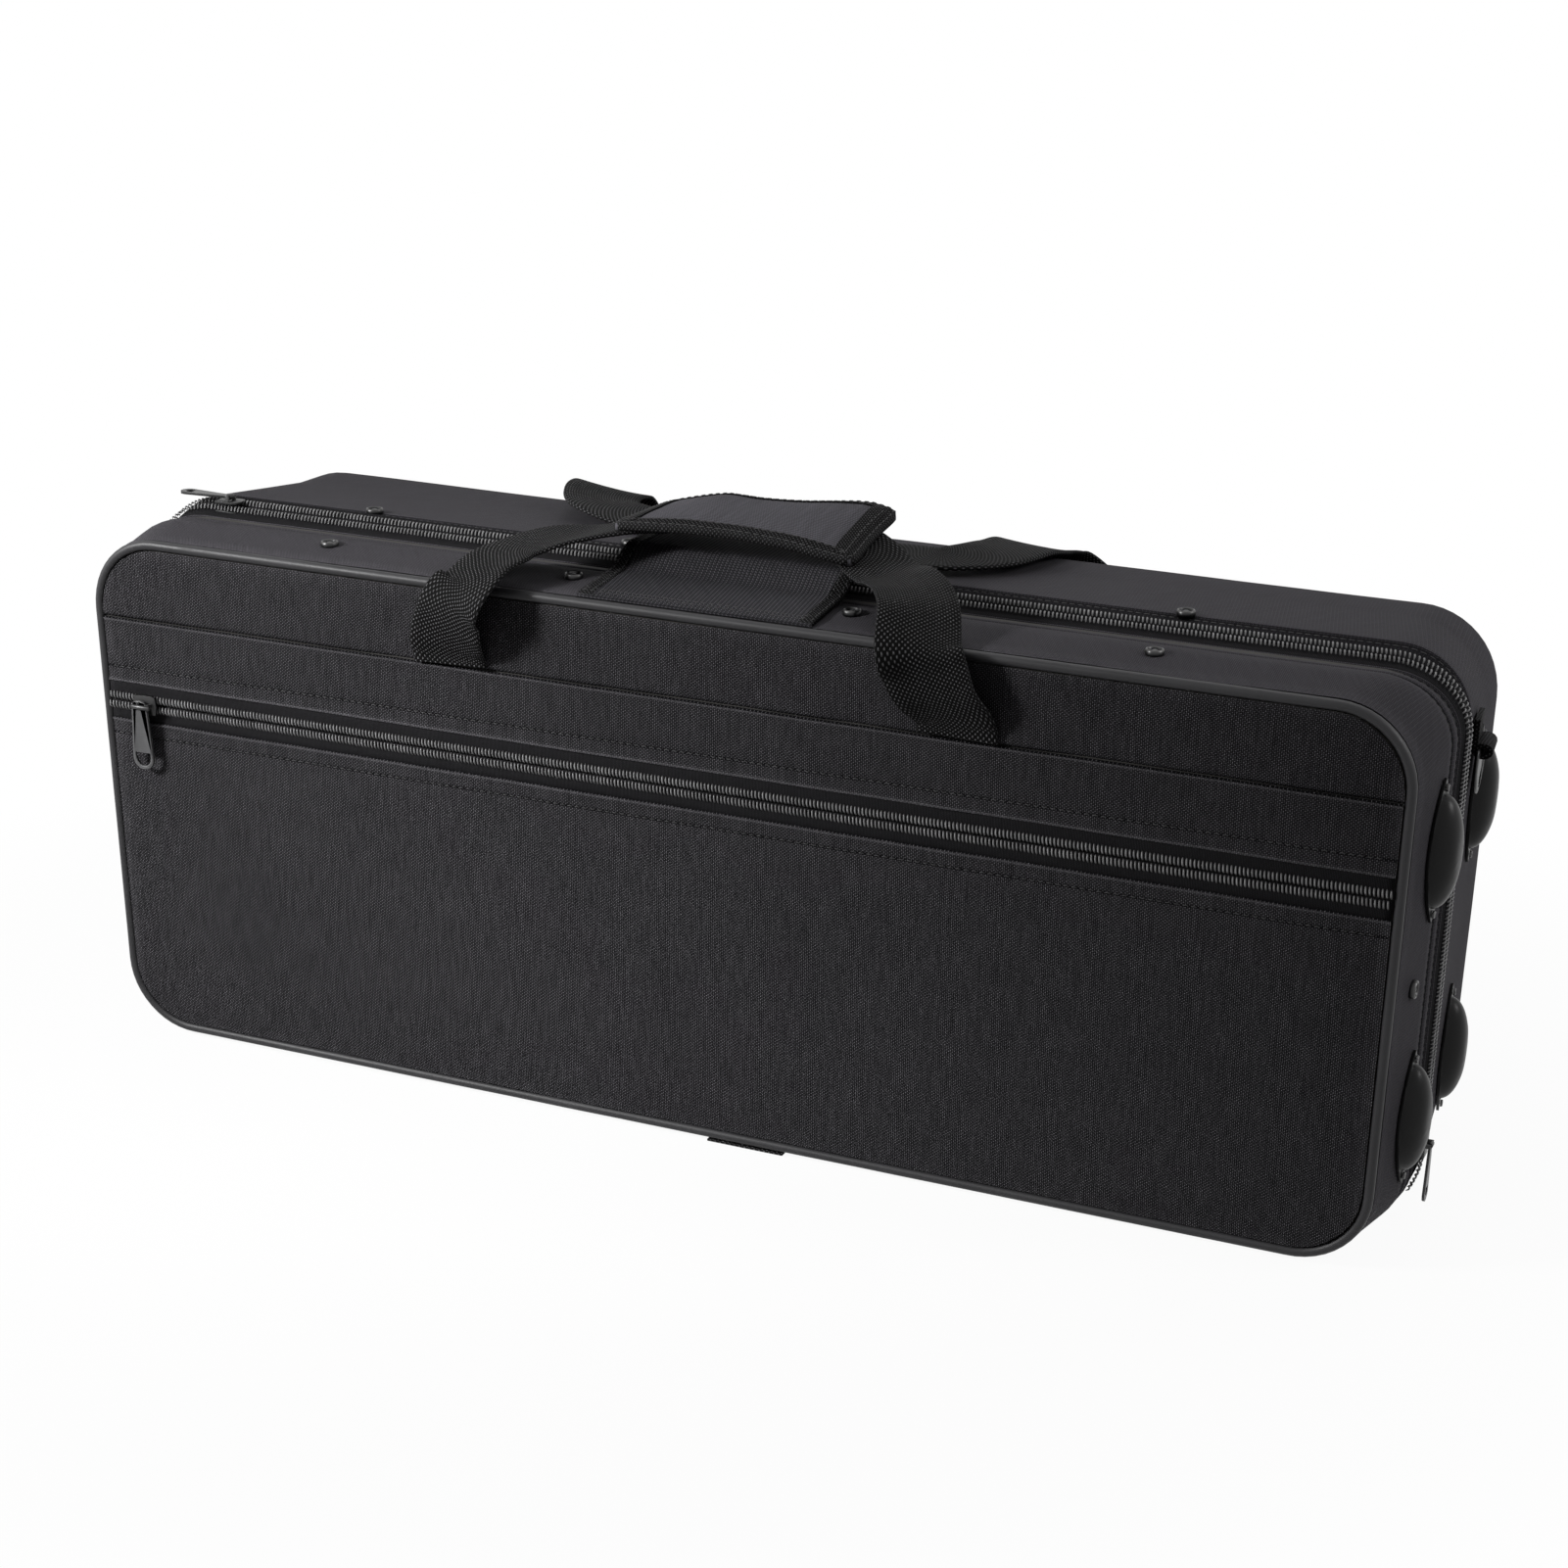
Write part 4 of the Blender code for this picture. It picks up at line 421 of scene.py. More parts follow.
# Tubes, stitches and teeth are all made of rings, each a centre and two half axes; closed joins last to first
def addRings(shape, rings, steps, wearAndPaintedLight=0, closed=False):
    wearAndPaintedLightLayer = shape.verts.layers.float.verify()
    loops = []
    for index, (centre, first, second) in enumerate(rings):
        loop = []
        for step in range(steps):
            angle = 2 * math.pi * step / steps
            corner = shape.verts.new(centre + first * math.cos(angle) + second * math.sin(angle))
            corner[wearAndPaintedLightLayer] = wearAndPaintedLight[index] if isinstance(wearAndPaintedLight, list) else wearAndPaintedLight
            loop.append(corner)
        loops.append(loop)
    pairs = list(zip(loops, loops[1:]))
    if closed:
        pairs.append((loops[-1], loops[0]))
    else:
        shape.faces.new(list(reversed(loops[0])))
        shape.faces.new(loops[-1])
    for low, high in pairs:
        for index in range(steps):
            after = (index + 1) % steps
            face = shape.faces.new((low[index], low[after], high[after], high[index]))
            face.smooth = True


# Finish of CAD solids: angle of the edges that are softened, how flat faces are that join, wear of corners
finish = {
    "edgeAngle": 40, "flatAngle": 0.01, "joinAngle": 0.6, "joinShape": 1.2, "wornGain": 2.2, "wornFrom": 0.15,
}


def copyOf(node, name):
    piece = bpy.data.objects.new(name, frame["nodes"][node].data.copy())
    scene.collection.objects.link(piece)
    return piece


def joinFaces(mesh):
    shape = bmesh.new()
    shape.from_mesh(mesh)
    bmesh.ops.remove_doubles(shape, verts=shape.verts, dist=1e-6)
    bmesh.ops.join_triangles(shape, faces=shape.faces, angle_face_threshold=finish["joinAngle"],
                             angle_shape_threshold=finish["joinShape"])
    bmesh.ops.dissolve_limit(shape, angle_limit=finish["flatAngle"], verts=shape.verts, edges=shape.edges)
    shape.to_mesh(mesh)
    shape.free()


# The cloth map is laid on from the side that a face looks to, and corners that stick out are worn
def finishMesh(mesh):
    shape = bmesh.new()
    shape.from_mesh(mesh)
    layer = shape.loops.layers.uv.new("cloth")
    wearAndPaintedLightLayer = shape.verts.layers.float.new("wearAndPaintedLight")
    planes = ((1, 2), (0, 2), (0, 1))
    for face in shape.faces:
        face.smooth = True
        first, second = max((abs(face.normal[axis]), plane) for axis, plane in enumerate(planes))[1]
        for loop in face.loops:
            loop[layer].uv = (loop.vert.co[first], loop.vert.co[second])
    for corner in shape.verts:
        ways = [(edge.other_vert(corner).co - corner.co).normalized() for edge in corner.link_edges]
        lean = sum(way.dot(corner.normal) for way in ways) / max(1, len(ways))
        corner[wearAndPaintedLightLayer] = min(1, max(0, -finish["wornGain"] * lean - finish["wornFrom"]))
    shape.to_mesh(mesh)
    shape.free()


def finishCopy(piece, node, material):
    finishMesh(piece.data)
    piece.data.materials.clear()
    piece.data.materials.append(materials[material])
    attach(piece, body_of(frame["nodes"][node])[0])
    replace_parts(piece, node)


# Smooth finish of a rigid CAD solid: softened edges, and smoothing where it is round
def refine(node, name, material, bevel, level):
    piece = copyOf(node, name)
    joinFaces(piece.data)
    if bevel:
        softened = piece.modifiers.new("Edges", "BEVEL")
        softened.width = bevel
        softened.segments = 2
        softened.limit_method = "ANGLE"
        softened.angle_limit = math.radians(finish["edgeAngle"])
    if level:
        smooth = piece.modifiers.new("Smooth", "SUBSURF")
        smooth.levels = smooth.render_levels = level
    applyModifiers(piece)
    finishCopy(piece, node, material)
    return piece


def applyModifiers(piece):
    bpy.context.view_layer.update()
    shaped = bpy.data.meshes.new_from_object(piece.evaluated_get(bpy.context.evaluated_depsgraph_get()))
    piece.modifiers.clear()
    piece.data = shaped


# Stitches lie on what they sew: a route is a list of (point, direction towards the surface), and each
# stitch has rings of (share of its length, thickness, lift)
stitch = {
    "length": 0.0027, "gap": 0.0012, "radius": 0.00024, "sides": 5, "search": 0.02, "wearAndPaintedLight": 0.2,
    "rings": ((0, 0.5, -0.3), (0.2, 1, 0.6), (0.8, 1, 0.6), (1, 0.5, -0.3)),
}


def surfaceOf(*pieces):
    points, faces = [], []
    for piece in pieces:
        first = len(points)
        points += [corner.co.copy() for corner in piece.data.vertices]
        faces += [[first + index for index in face.vertices] for face in piece.data.polygons]
    return BVHTree.FromPolygons(points, faces)


def alongRoute(route, distance):
    for (start, first), (end, second) in zip(route, route[1:]):
        length = (end - start).length
        if distance <= length:
            share = distance / max(length, 1e-9)
            return start.lerp(end, share), first.lerp(second, share).normalized(), (end - start).normalized()
        distance -= length
    return None


def addStitches(shape, tree, route):
    total = sum((end[0] - start[0]).length for start, end in zip(route, route[1:]))
    pitch = stitch["length"] + stitch["gap"]
    for index in range(int(total / pitch)):
        rings = []
        for share, thick, lift in stitch["rings"]:
            found = alongRoute(route, index * pitch + share * stitch["length"])
            if not found:
                break
            place, toward, ahead = found
            hit, normal = tree.ray_cast(place - toward * stitch["search"], toward, stitch["search"] * 2)[:2]
            if hit is None:
                break
            if normal.dot(toward) > 0:
                normal = -normal
            radius = stitch["radius"] * thick
            side = ahead.cross(normal).normalized()
            rings.append((hit + normal * stitch["radius"] * lift, side * radius, normal * radius))
        if len(rings) == len(stitch["rings"]):
            addRings(shape, rings, stitch["sides"], stitch["wearAndPaintedLight"])


def stitchPiece(name, body, tree, routes):
    shape = newRings()
    for route in routes:
        addStitches(shape, tree, route)
    ringPiece(name, shape, body, "thread")


# The case outline in the XZ plane: finely stepped corners and sides, with normals; it closes on itself
outlineSteps = {"corner": 12, "short": 12, "long": 40}


def outline(radius):
    height = case["height"]
    corners = [
        (halfLength - radius, radius, -90), (halfLength - radius, height - radius, 0),
        (radius - halfLength, height - radius, 90), (radius - halfLength, radius, 180),
    ]
    points = []
    for index, (x, z, first) in enumerate(corners):
        for step in range(outlineSteps["corner"] + 1):
            angle = math.radians(first + 90 * step / outlineSteps["corner"])
            normal = (math.cos(angle), math.sin(angle))
            points.append((x + radius * normal[0], z + radius * normal[1], *normal))
        nextX, nextZ, nextFirst = corners[(index + 1) % 4]
        angle = math.radians(nextFirst)
        endX, endZ = nextX + radius * math.cos(angle), nextZ + radius * math.sin(angle)
        startX, startZ, *normal = points[-1]
        steps = outlineSteps["short"] if index % 2 == 0 else outlineSteps["long"]
        for step in range(1, steps):
            share = step / steps
            points.append((blend(startX, endX, share), blend(startZ, endZ, share), *normal))
    return points + [points[0]]


def lengths(points):
    total, result = 0, [0]
    for first, second in zip(points, points[1:]):
        total += math.hypot(second[0] - first[0], second[1] - first[1])
        result.append(total)
    return result


def level(normalX, normalZ, sides, bottom):
    share = 1 if normalZ >= 0 else abs(normalX)
    return bottom + (sides - bottom) * share


def crown(y):
    if y < zipY:
        return case["zipCrown"] * max(0, (y - crownStartY) / (lidEdgeY - crownStartY))
    return case["zipCrown"] * max(0, (crownEndY - y) / (crownEndY - baseEdgeY))


# On top the case is hollow along the zip: the lid's cloth falls to it, and the base's stays higher,
# most of all at the left
valley = {"lid": 0.0060, "lidWidth": 0.030, "baseLeft": -0.0004, "baseRight": 0.0028, "baseWidth": 0.006}


def ease(share):
    share = min(1, max(0, share))
    return share * share * (3 - 2 * share)


def dip(x, y, normalZ):
    base = blend(valley["baseLeft"], valley["baseRight"], (x + halfLength) / case["length"])
    if y <= lidEdgeY:
        depth = valley["lid"] * ease(1 - (lidEdgeY - y) / valley["lidWidth"])
    elif y < baseEdgeY:
        depth = blend(valley["lid"], base, (y - lidEdgeY) / (baseEdgeY - lidEdgeY))
    else:
        depth = base * ease(1 - (y - baseEdgeY) / valley["baseWidth"])
    return depth * max(0, normalZ) ** 2


# One turn of cloth round the case; a station is (y, corner radius, level at the sides, level below, wear and
# painted shade)
def coverRows(stations):
    around = lengths(outline(case["zipCorner"]))
    rows = []
    across = 0
    for index, (y, radius, sides, bottom, wearAndPaintedLight) in enumerate(stations):
        if index:
            before = stations[index - 1]
            across += math.hypot(y - before[0], sides - before[2])
        row = []
        for (x, z, normalX, normalZ), along in zip(outline(radius), around):
            out = level(normalX, normalZ, sides, bottom)
            if normalZ >= 0:
                out += ripple((x, y, z), gusset["wave"], gusset["ripple"]) - dip(x, y, normalZ)
                out += ripple((x, y, z), gusset["fineWave"], gusset["ripple"] / 4)
            row.append((Vector((x + normalX * out, y, z + normalZ * out)), (along, across), wearAndPaintedLight))
        rows.append(row)
    return rows


# Beside the zip the cloth is folded under and stitched down, in two rows on the lid and one on the base
# Painted light beside the zip: the "shadow" rows darken the turned-under edge and the stitched grooves as
# painted shade, the lid's fold is painted lighter as a highlight and the base's fold darker as shade
gusset = {
    "lidRows": (0.0035, 0.0122), "baseRows": (0.0035,), "groove": 0.0011, "grooveHalf": 0.0025,
    "lidFoldHighlight": 0.3, "baseFoldShade": -1.2, "foldRadius": 0.0009, "under": 0.0002, "turnedIn": 0.0022,
    "ripple": 0.00035, "wave": 13, "fineWave": 40, "behindGroove": (0.0006, 0.0014, 0.0024),
    "shadow": -1.6, "backWear": 0.3, "frontWear": 0.35, "pipeCover": 0.001,
    "backTurn": 0.004, "backMargin": 0.0038, "stitchedTo": -0.3,
}


def edgeStations(edgeY, side, radius, stitchRows):
    fold = gusset["foldRadius"]
    # Painted light on the fold: lighter on the lid as a highlight, darker on the base as shade
    wearAndPaintedLight = gusset["lidFoldHighlight"] if side < 0 else gusset["baseFoldShade"]
    stations = [
        (edgeY - side * gusset["under"], radius, case["zipCrown"] - gusset["turnedIn"], -gusset["turnedIn"],
         gusset["shadow"]),
        (edgeY, radius, case["zipCrown"] - fold, -fold, wearAndPaintedLight - 0.2),
        (edgeY + side * fold * 0.3, radius, case["zipCrown"] - fold * 0.3, -fold * 0.3, wearAndPaintedLight),
        (edgeY + side * fold, radius, case["zipCrown"], 0, wearAndPaintedLight - 0.1),
    ]
    offsets = []
    for row in stitchRows:
        half = gusset["grooveHalf"]
        offsets += [(row - half, 0), (row - half / 2, 0.8), (row + half / 2, 0.8), (row + half, 0)]
    for offset, share in offsets:
        y = edgeY + side * offset
        drop = gusset["groove"] * share
        stations.append((y, radius, crown(y) - drop, -drop / 4, gusset["shadow"] if drop else 0.15))
    return stations


def gussetRoutes(edgeY, side, stitchRows):
    routes = []
    for offset in stitchRows:
        y = edgeY + side * offset
        route = []
        for x, z, normalX, normalZ in outline(case["zipCorner"])[:-1]:
            if normalZ > gusset["stitchedTo"]:
                route.append((Vector((x, y, z)), Vector((-normalX, 0, -normalZ))))
        routes.append(route)
    return routes


def coverPiece(part, node, body, stations, edgeY, side, stitchRows):
    piece = gridPiece(part + "_gusset_cloth", coverRows(stations), body, "gusset", side > 0)
    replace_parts(piece, node)
    routes = gussetRoutes(edgeY, side, stitchRows)
    stitchPiece(part + "_gusset_stitches", body, surfaceOf(piece), routes)


def buildFrontCover():
    zipCorner = case["zipCorner"]
    stations = edgeStations(lidEdgeY, -1, zipCorner, gusset["lidRows"])
    startY = stations[-1][0]
    for step in range(1, 9):
        y = blend(startY, crownStartY, step / 8)
        stations.append((y, blend(zipCorner, case["frontCorner"], step / 8), crown(y), 0, 0))
    for step in range(1, 4):
        share = step / 3
        y = blend(crownStartY, pipeBackY - gusset["pipeCover"], share)
        drop, bottomDrop = case["edgeDrop"] * share * share, case["bottomDrop"] * share
        stations.append((y, case["frontCorner"], -drop, -bottomDrop, gusset["frontWear"] * share))
    coverPiece("front", "front_cover", "lid", stations, lidEdgeY, -1, gusset["lidRows"])


def buildRearCover():
    zipCorner, backCorner, backEdge = case["zipCorner"], case["backCorner"], case["backEdge"]
    stations = edgeStations(baseEdgeY, 1, zipCorner, gusset["baseRows"])
    startY = stations[-1][0]
    for offset in gusset["behindGroove"]:
        y = startY + offset
        stations.append((y, zipCorner, crown(y), 0, 0))
    for step in range(1, 7):
        y = blend(startY + offset, crownEndY, step / 6)
        stations.append((y, blend(zipCorner, backCorner, step / 6), crown(y), 0, 0))
    for step in range(1, 11):
        angle = math.pi / 2 * step / 10
        drop = -backEdge * (1 - math.cos(angle))
        y = backY - backEdge * (1 - math.sin(angle))
        stations.append((y, backCorner, drop, drop, gusset["backWear"] * math.sin(2 * angle)))
    turned = drop - gusset["backTurn"]
    stations.append((backY, backCorner, turned, turned, 0))
    coverPiece("rear", "rear_cover", "base", stations, baseEdgeY, 1, gusset["baseRows"])
    inset = backEdge + gusset["backMargin"]
    low, high = inset, case["height"] - inset
    rows = panelRows(spaced(low, high, (high - low) / 24), halfLength - inset, backCorner - inset, low, high,
                     lambda x, z: backY + ripple((x, 0.1, z), gusset["wave"], gusset["ripple"]))
    gridPiece("rear_panel_cloth", rows, "base", "gusset", True)


def spaced(low, high, step):
    count = max(1, round((high - low) / step))
    return [blend(low, high, index / count) for index in range(count + 1)]


# Rows of a flat panel at the given heights; its corners are rounded at cornerLow and cornerHigh
def panelRows(heights, half, radius, cornerLow, cornerHigh, depthAt, columns=84, wearAndPaintedShadeAt=None):
    rows = []
    for z in heights:
        reach = half
        for edge, sense in ((cornerLow, 1), (cornerHigh, -1)):
            inside = radius - sense * (z - edge)
            if inside > 0:
                reach = min(reach, half - radius + math.sqrt(max(0, radius ** 2 - inside ** 2)))
        row = []
        for column in range(columns + 1):
            x = blend(-reach, reach, column / columns)
            wearAndPaintedLight = wearAndPaintedShadeAt(x, z) if wearAndPaintedShadeAt else 0
            row.append((Vector((x, depthAt(x, z), z)), (x, z), wearAndPaintedLight))
        rows.append(row)
    return rows


# Front panels: pocket, yoke and top, each with the height of its rows, folded edges and grooves
panels = {
    "bottom": 0.0071, "cornerLess": 0.0058, "step": 0.006, "columns": 132, "overlap": 0.0002,
    "bulge": 0.0016, "ripple": 0.0007, "wave": 22, "fineWave": 60,
    "endFade": 0.05, "endWorn": 0.25, "endWornWidth": 0.006,
    "foldRows": (0.0003, 0.0007, 0.0012, 0.0018, 0.0026),
    "stitchDrop": 0.0080, "stitchInset": 0.003, "stitchStep": 0.02,
    "grooveRows": (-0.0009, -0.0004, 0, 0.0004, 0.0009),
    # Painted shade darkens the stitched grooves
    "groove": 0.0005, "grooveWidth": 0.0006, "grooveShade": 0.9, "grooveShadeWidth": 0.0008,
}
# How high and wide an edge rises, how it is cut back at its very end, where it is worn, and how strong and
# wide the painted shade beside it is
panelEdges = {
    "welt": {
        "rise": 0.0011, "width": 0.0017, "cut": 0.0022, "cutWidth": 0.0008,
        "worn": 0.9, "wornAt": 0.0010, "wornWidth": 0.0009, "shadow": 2.0, "shadowWidth": 0.0005,
    },
    "seam": {
        "rise": 0.0011, "width": 0.0013, "cut": 0.0020, "cutWidth": 0.0007,
        "worn": 0.9, "wornAt": 0.0010, "wornWidth": 0.0009, "shadow": 2.0, "shadowWidth": 0.0005,
    },
    "under": {
        "rise": -0.0014, "width": 0.0012, "cut": 0, "cutWidth": 0.0007,
        "worn": 0, "wornAt": 0, "wornWidth": 0.0009, "shadow": 1.6, "shadowWidth": 0.0009,
    },
    "pipe": {
        "rise": -0.0007, "width": 0.004, "cut": 0, "cutWidth": 0.0007,
        "worn": 0.15, "wornAt": 0, "wornWidth": 0.004, "shadow": 0, "shadowWidth": 0.0009,
    },
}


def fade(away, width):
    return max(0, 1 - away / width)


def ridge(away, width):
    return math.exp(-(away / width) ** 2)


def makePanel(name, node, low, high, kinds, bulge):
    bottom, top = panels["bottom"], case["height"] - case["panelMargin"]
    edges = [(low, panelEdges[kinds[0]]), (high, panelEdges[kinds[1]])]
    grooves = []
    if kinds[1] == "welt":
        grooves.append(high - panels["stitchDrop"])
    if kinds[0] == "welt":
        grooves.append(low + panels["stitchDrop"])
    heights = sorted(set(spaced(low, high, panels["step"])
                         + [groove + away for groove in grooves for away in panels["grooveRows"]]
                         + [low + away for away in panels["foldRows"]]
                         + [high - away for away in panels["foldRows"]]))

    def depthAt(x, z):
        share = (z - low) / (high - low)
        fromEnd = min(1, (panelHalf - abs(x)) / panels["endFade"])
        rise = bulge * math.sin(math.pi * share) ** 0.5 * max(0, fromEnd) ** 0.5
        rise += ripple((x, 0.3, z), panels["wave"], panels["ripple"]) * min(1, fromEnd * 2)
        rise += ripple((x, 0.8, z), panels["fineWave"], panels["ripple"] / 4)
        for groove in grooves:
            rise -= panels["groove"] * ridge(z - groove, panels["grooveWidth"])
        for edge, kind in edges:
            away = abs(z - edge)
            rise += kind["rise"] * ridge(away, kind["width"])
            rise -= kind["cut"] * fade(away, kind["cutWidth"]) ** 2
        return panelY - rise

    # Wear lightens the ends and the folded edges; painted shade darkens beside the edges and in the stitched
    # grooves
    def wearAndPaintedShadeAt(x, z):
        wearAndPaintedLight = panels["endWorn"] * fade(panelHalf - abs(x), panels["endWornWidth"])
        for edge, kind in edges:
            away = abs(z - edge)
            wearAndPaintedLight += kind["worn"] * fade(abs(away - kind["wornAt"]), kind["wornWidth"])
            wearAndPaintedLight -= kind["shadow"] * fade(away, kind["shadowWidth"])
        for groove in grooves:
            wearAndPaintedLight -= panels["grooveShade"] * fade(abs(z - groove), panels["grooveShadeWidth"])
        return min(1, wearAndPaintedLight)

    radius = case["frontCorner"] - panels["cornerLess"]
    rows = panelRows(heights, panelHalf, radius, bottom, top, depthAt, panels["columns"], wearAndPaintedShadeAt)
    piece = gridPiece(name, rows, "lid", "oxford")
    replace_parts(piece, node)
    return piece


def buildPanels():
    bulge, seam = panels["bulge"], case["seam"]
    lowWelt = case["pocketZip"] - case["pocketOpening"] / 2
    highWelt = case["pocketZip"] + case["pocketOpening"] / 2
    top = case["height"] - case["panelMargin"]
    pocket = makePanel("pocket_cloth", "pocket_panel", panels["bottom"], lowWelt, ("pipe", "welt"), bulge)
    yoke = makePanel("yoke_cloth", "yoke_panel", highWelt, seam, ("welt", "seam"), bulge / 3)
    makePanel("top_cloth", "top_panel", seam + panels["overlap"], top, ("under", "pipe"), bulge / 2)
    reach = panelHalf - panels["stitchInset"]
    places = spaced(-reach, reach, panels["stitchStep"])
    routes = [[(Vector((x, panelY, z)), Vector((0, 1, 0))) for x in places]
              for z in (lowWelt - panels["stitchDrop"], highWelt + panels["stitchDrop"])]
    stitchPiece("panel_stitches", "lid", surfaceOf(pocket, yoke), routes)


# Piping: a covered cord in the corner between panel and gusset
piping = {"sides": 16, "unevenness": 0.00008, "wave": 70, "wearAndPaintedLight": 0.3}


def buildPiping():
    radius = case["pipeRadius"]
    shape = newRings()
    rings = []
    for x, z, normalX, normalZ in outline(case["frontCorner"])[:-1]:
        out = level(normalX, normalZ, -case["edgeDrop"], -case["bottomDrop"]) - radius
        centre = Vector((x + normalX * out, frontY + radius, z + normalZ * out))
        thick = radius + ripple(centre, piping["wave"], piping["unevenness"])
        rings.append((centre, Vector((normalX, 0, normalZ)) * thick, Vector((0, 1, 0)) * thick))
    addRings(shape, rings, piping["sides"], piping["wearAndPaintedLight"], True)
    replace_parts(ringPiece("piping_cord", shape, "lid", "piping"), "front_piping")


print("covers and panels")
buildFrontCover()
buildRearCover()
buildPanels()
buildPiping()

# Zips: a woven tape and a chain of arched nylon loops on each side
zips = {
    "main": {
        "pitch": 0.00196, "tip": 0.0012, "root": 0.0050, "arch": 0.0016, "thick": 0.00042, "slant": 0.0010,
    },
    "pocket": {
        "pitch": 0.00182, "tip": 0.0005, "root": 0.0044, "arch": 0.0010, "thick": 0.00046, "slant": 0.0003,
    },
    "foot": 0.0003, "sides": 6, "loopShares": (0, 0.12, 0.35, 0.62, 0.88, 1), "archShares": (0.06, 0.94),
    "archPower": 0.7, "endThin": 0.6,
    # Painted light on each loop: dark at its foot as painted shade, light along its crest as a painted
    # highlight of random strength
    "shadedFoot": -0.4, "highlightTop": 0.30, "highlightSpread": 0.3, "endAngle": math.radians(28),
}
tapes = {
    "gap": 0.0006, "tuck": 0.0012, "step": 0.004, "thick": 0.0004,
    "drop": 0.0004, "edgeDrop": 0.0012, "wearAndPaintedLight": -0.6,
}


# The zip's line from the left end over the top to the right end: arcs (length, centre, two angles) and
# straight lines (length, start, end, normal), the first and last arc as long as endAngle says
def zipRun(endAngle):
    bend, height = case["zipCorner"], case["height"]
    innerX, innerZ = halfLength - bend, height - bend
    quarter = math.pi / 2
    return [
        ("arc", bend * endAngle, (-innerX, bend), math.pi + endAngle, math.pi),
        ("line", height - 2 * bend, (-halfLength, bend), (-halfLength, innerZ), (-1, 0)),
        ("arc", bend * quarter, (-innerX, innerZ), math.pi, quarter),
        ("line", case["length"] - 2 * bend, (-innerX, height), (innerX, height), (0, 1)),
        ("arc", bend * quarter, (innerX, innerZ), quarter, 0),
        ("line", height - 2 * bend, (halfLength, innerZ), (halfLength, bend), (1, 0)),
        ("arc", bend * endAngle, (innerX, bend), 0, -endAngle),
    ]


# Place, outward direction and direction onwards at a distance along a run
def runFrame(run, distance):
    for index, (kind, length, *rest) in enumerate(run):
        if distance <= length or index == len(run) - 1:
            share = min(1, distance / length)
            if kind == "line":
                start, end, normal = rest
                place = (blend(start[0], end[0], share), blend(start[1], end[1], share))
            else:
                centre, first, last = rest
                angle = blend(first, last, share)
                normal = (math.cos(angle), math.sin(angle))
                place = (centre[0] + case["zipCorner"] * normal[0], centre[1] + case["zipCorner"] * normal[1])
            out = Vector((normal[0], 0, normal[1]))
            lift = level(normal[0], normal[1], case["zipCrown"], 0)
            return Vector((place[0], zipY, place[1])) + out * lift, out, Vector((normal[1], 0, -normal[0]))
        distance -= length


def runLength(run):
    return sum(piece[1] for piece in run)


def buildTeeth(name, node, body, frames, side, across, loop):
    shape = newRings()
    for origin, out, ahead in frames:
        rings, wearAndPaintedLight = [], []
        crestHighlight = zips["highlightTop"] + noise.random() * zips["highlightSpread"]
        for share in zips["loopShares"]:
            reach = blend(loop["tip"], loop["root"], share)
            arch = math.sin(math.pi * blend(*zips["archShares"], share)) ** zips["archPower"]
            centre = origin + across * side * reach + out * (zips["foot"] + loop["arch"] * arch)
            centre = centre - ahead * side * loop["slant"] * (share - 0.5)
            centre = centre - out * dip(centre.x, centre.y, out.z)
            thin = loop["thick"] * (zips["endThin"] if share in (0, 1) else 1)
            rings.append((centre, ahead * thin, out.lerp(across, 1 - arch).normalized() * thin))
            # The loop's colour goes from painted shade at its foot to a painted highlight on its crest
            wearAndPaintedLight.append(blend(zips["shadedFoot"], crestHighlight, arch))
        addRings(shape, rings, zips["sides"], wearAndPaintedLight)
    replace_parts(ringPiece(name, shape, body, "nylon"), node)


# A tape runs from under the cloth to the middle of the zip, and is turned down along both edges
def buildTape(name, node, body, frames, side, across, width):
    columns = [(width + tapes["tuck"], tapes["edgeDrop"])]
    columns += [(width * share, tapes["drop"]) for share in (1, 0.75, 0.5, 0.25)]
    columns += [(tapes["gap"], tapes["drop"]), (tapes["gap"], tapes["edgeDrop"])]
    rows = []
    for column, low in columns:
        row = []
        for index, (origin, out, ahead) in enumerate(frames):
            point = origin + across * side * column
            drop = low + dip(point.x, point.y, out.z)
            row.append((point - out * drop, (index * tapes["step"], column), tapes["wearAndPaintedLight"]))
        rows.append(row)
    piece = gridPiece(name, rows, body, "tape")
    solid = piece.modifiers.new("Thickness", "SOLIDIFY")
    solid.thickness = tapes["thick"]
    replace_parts(piece, node)


def buildMainZip():
    noise.seed_set(7)
    run = zipRun(zips["endAngle"])
    total = runLength(run)
    count = round(total / zips["main"]["pitch"])
    across = Vector((0, 1, 0))
    for name, body, side, shift in (("front", "lid", -1, 0), ("rear", "base", 1, 0.5)):
        frames = [runFrame(run, total * (index + shift) / count) for index in range(count)]
        buildTeeth(name + "_zip_chain", name + "_zip_teeth", body, frames, side, across, zips["main"])
    run = zipRun(math.pi / 2)
    total = runLength(run)
    count = round(total / tapes["step"])
    frames = [runFrame(run, total * index / count) for index in range(count + 1)]
    for name, body, side in (("front", "lid", -1), ("rear", "base", 1)):
        buildTape(name + "_zip_band", name + "_zip_tape", body, frames, side, across, case["tapeWidth"])


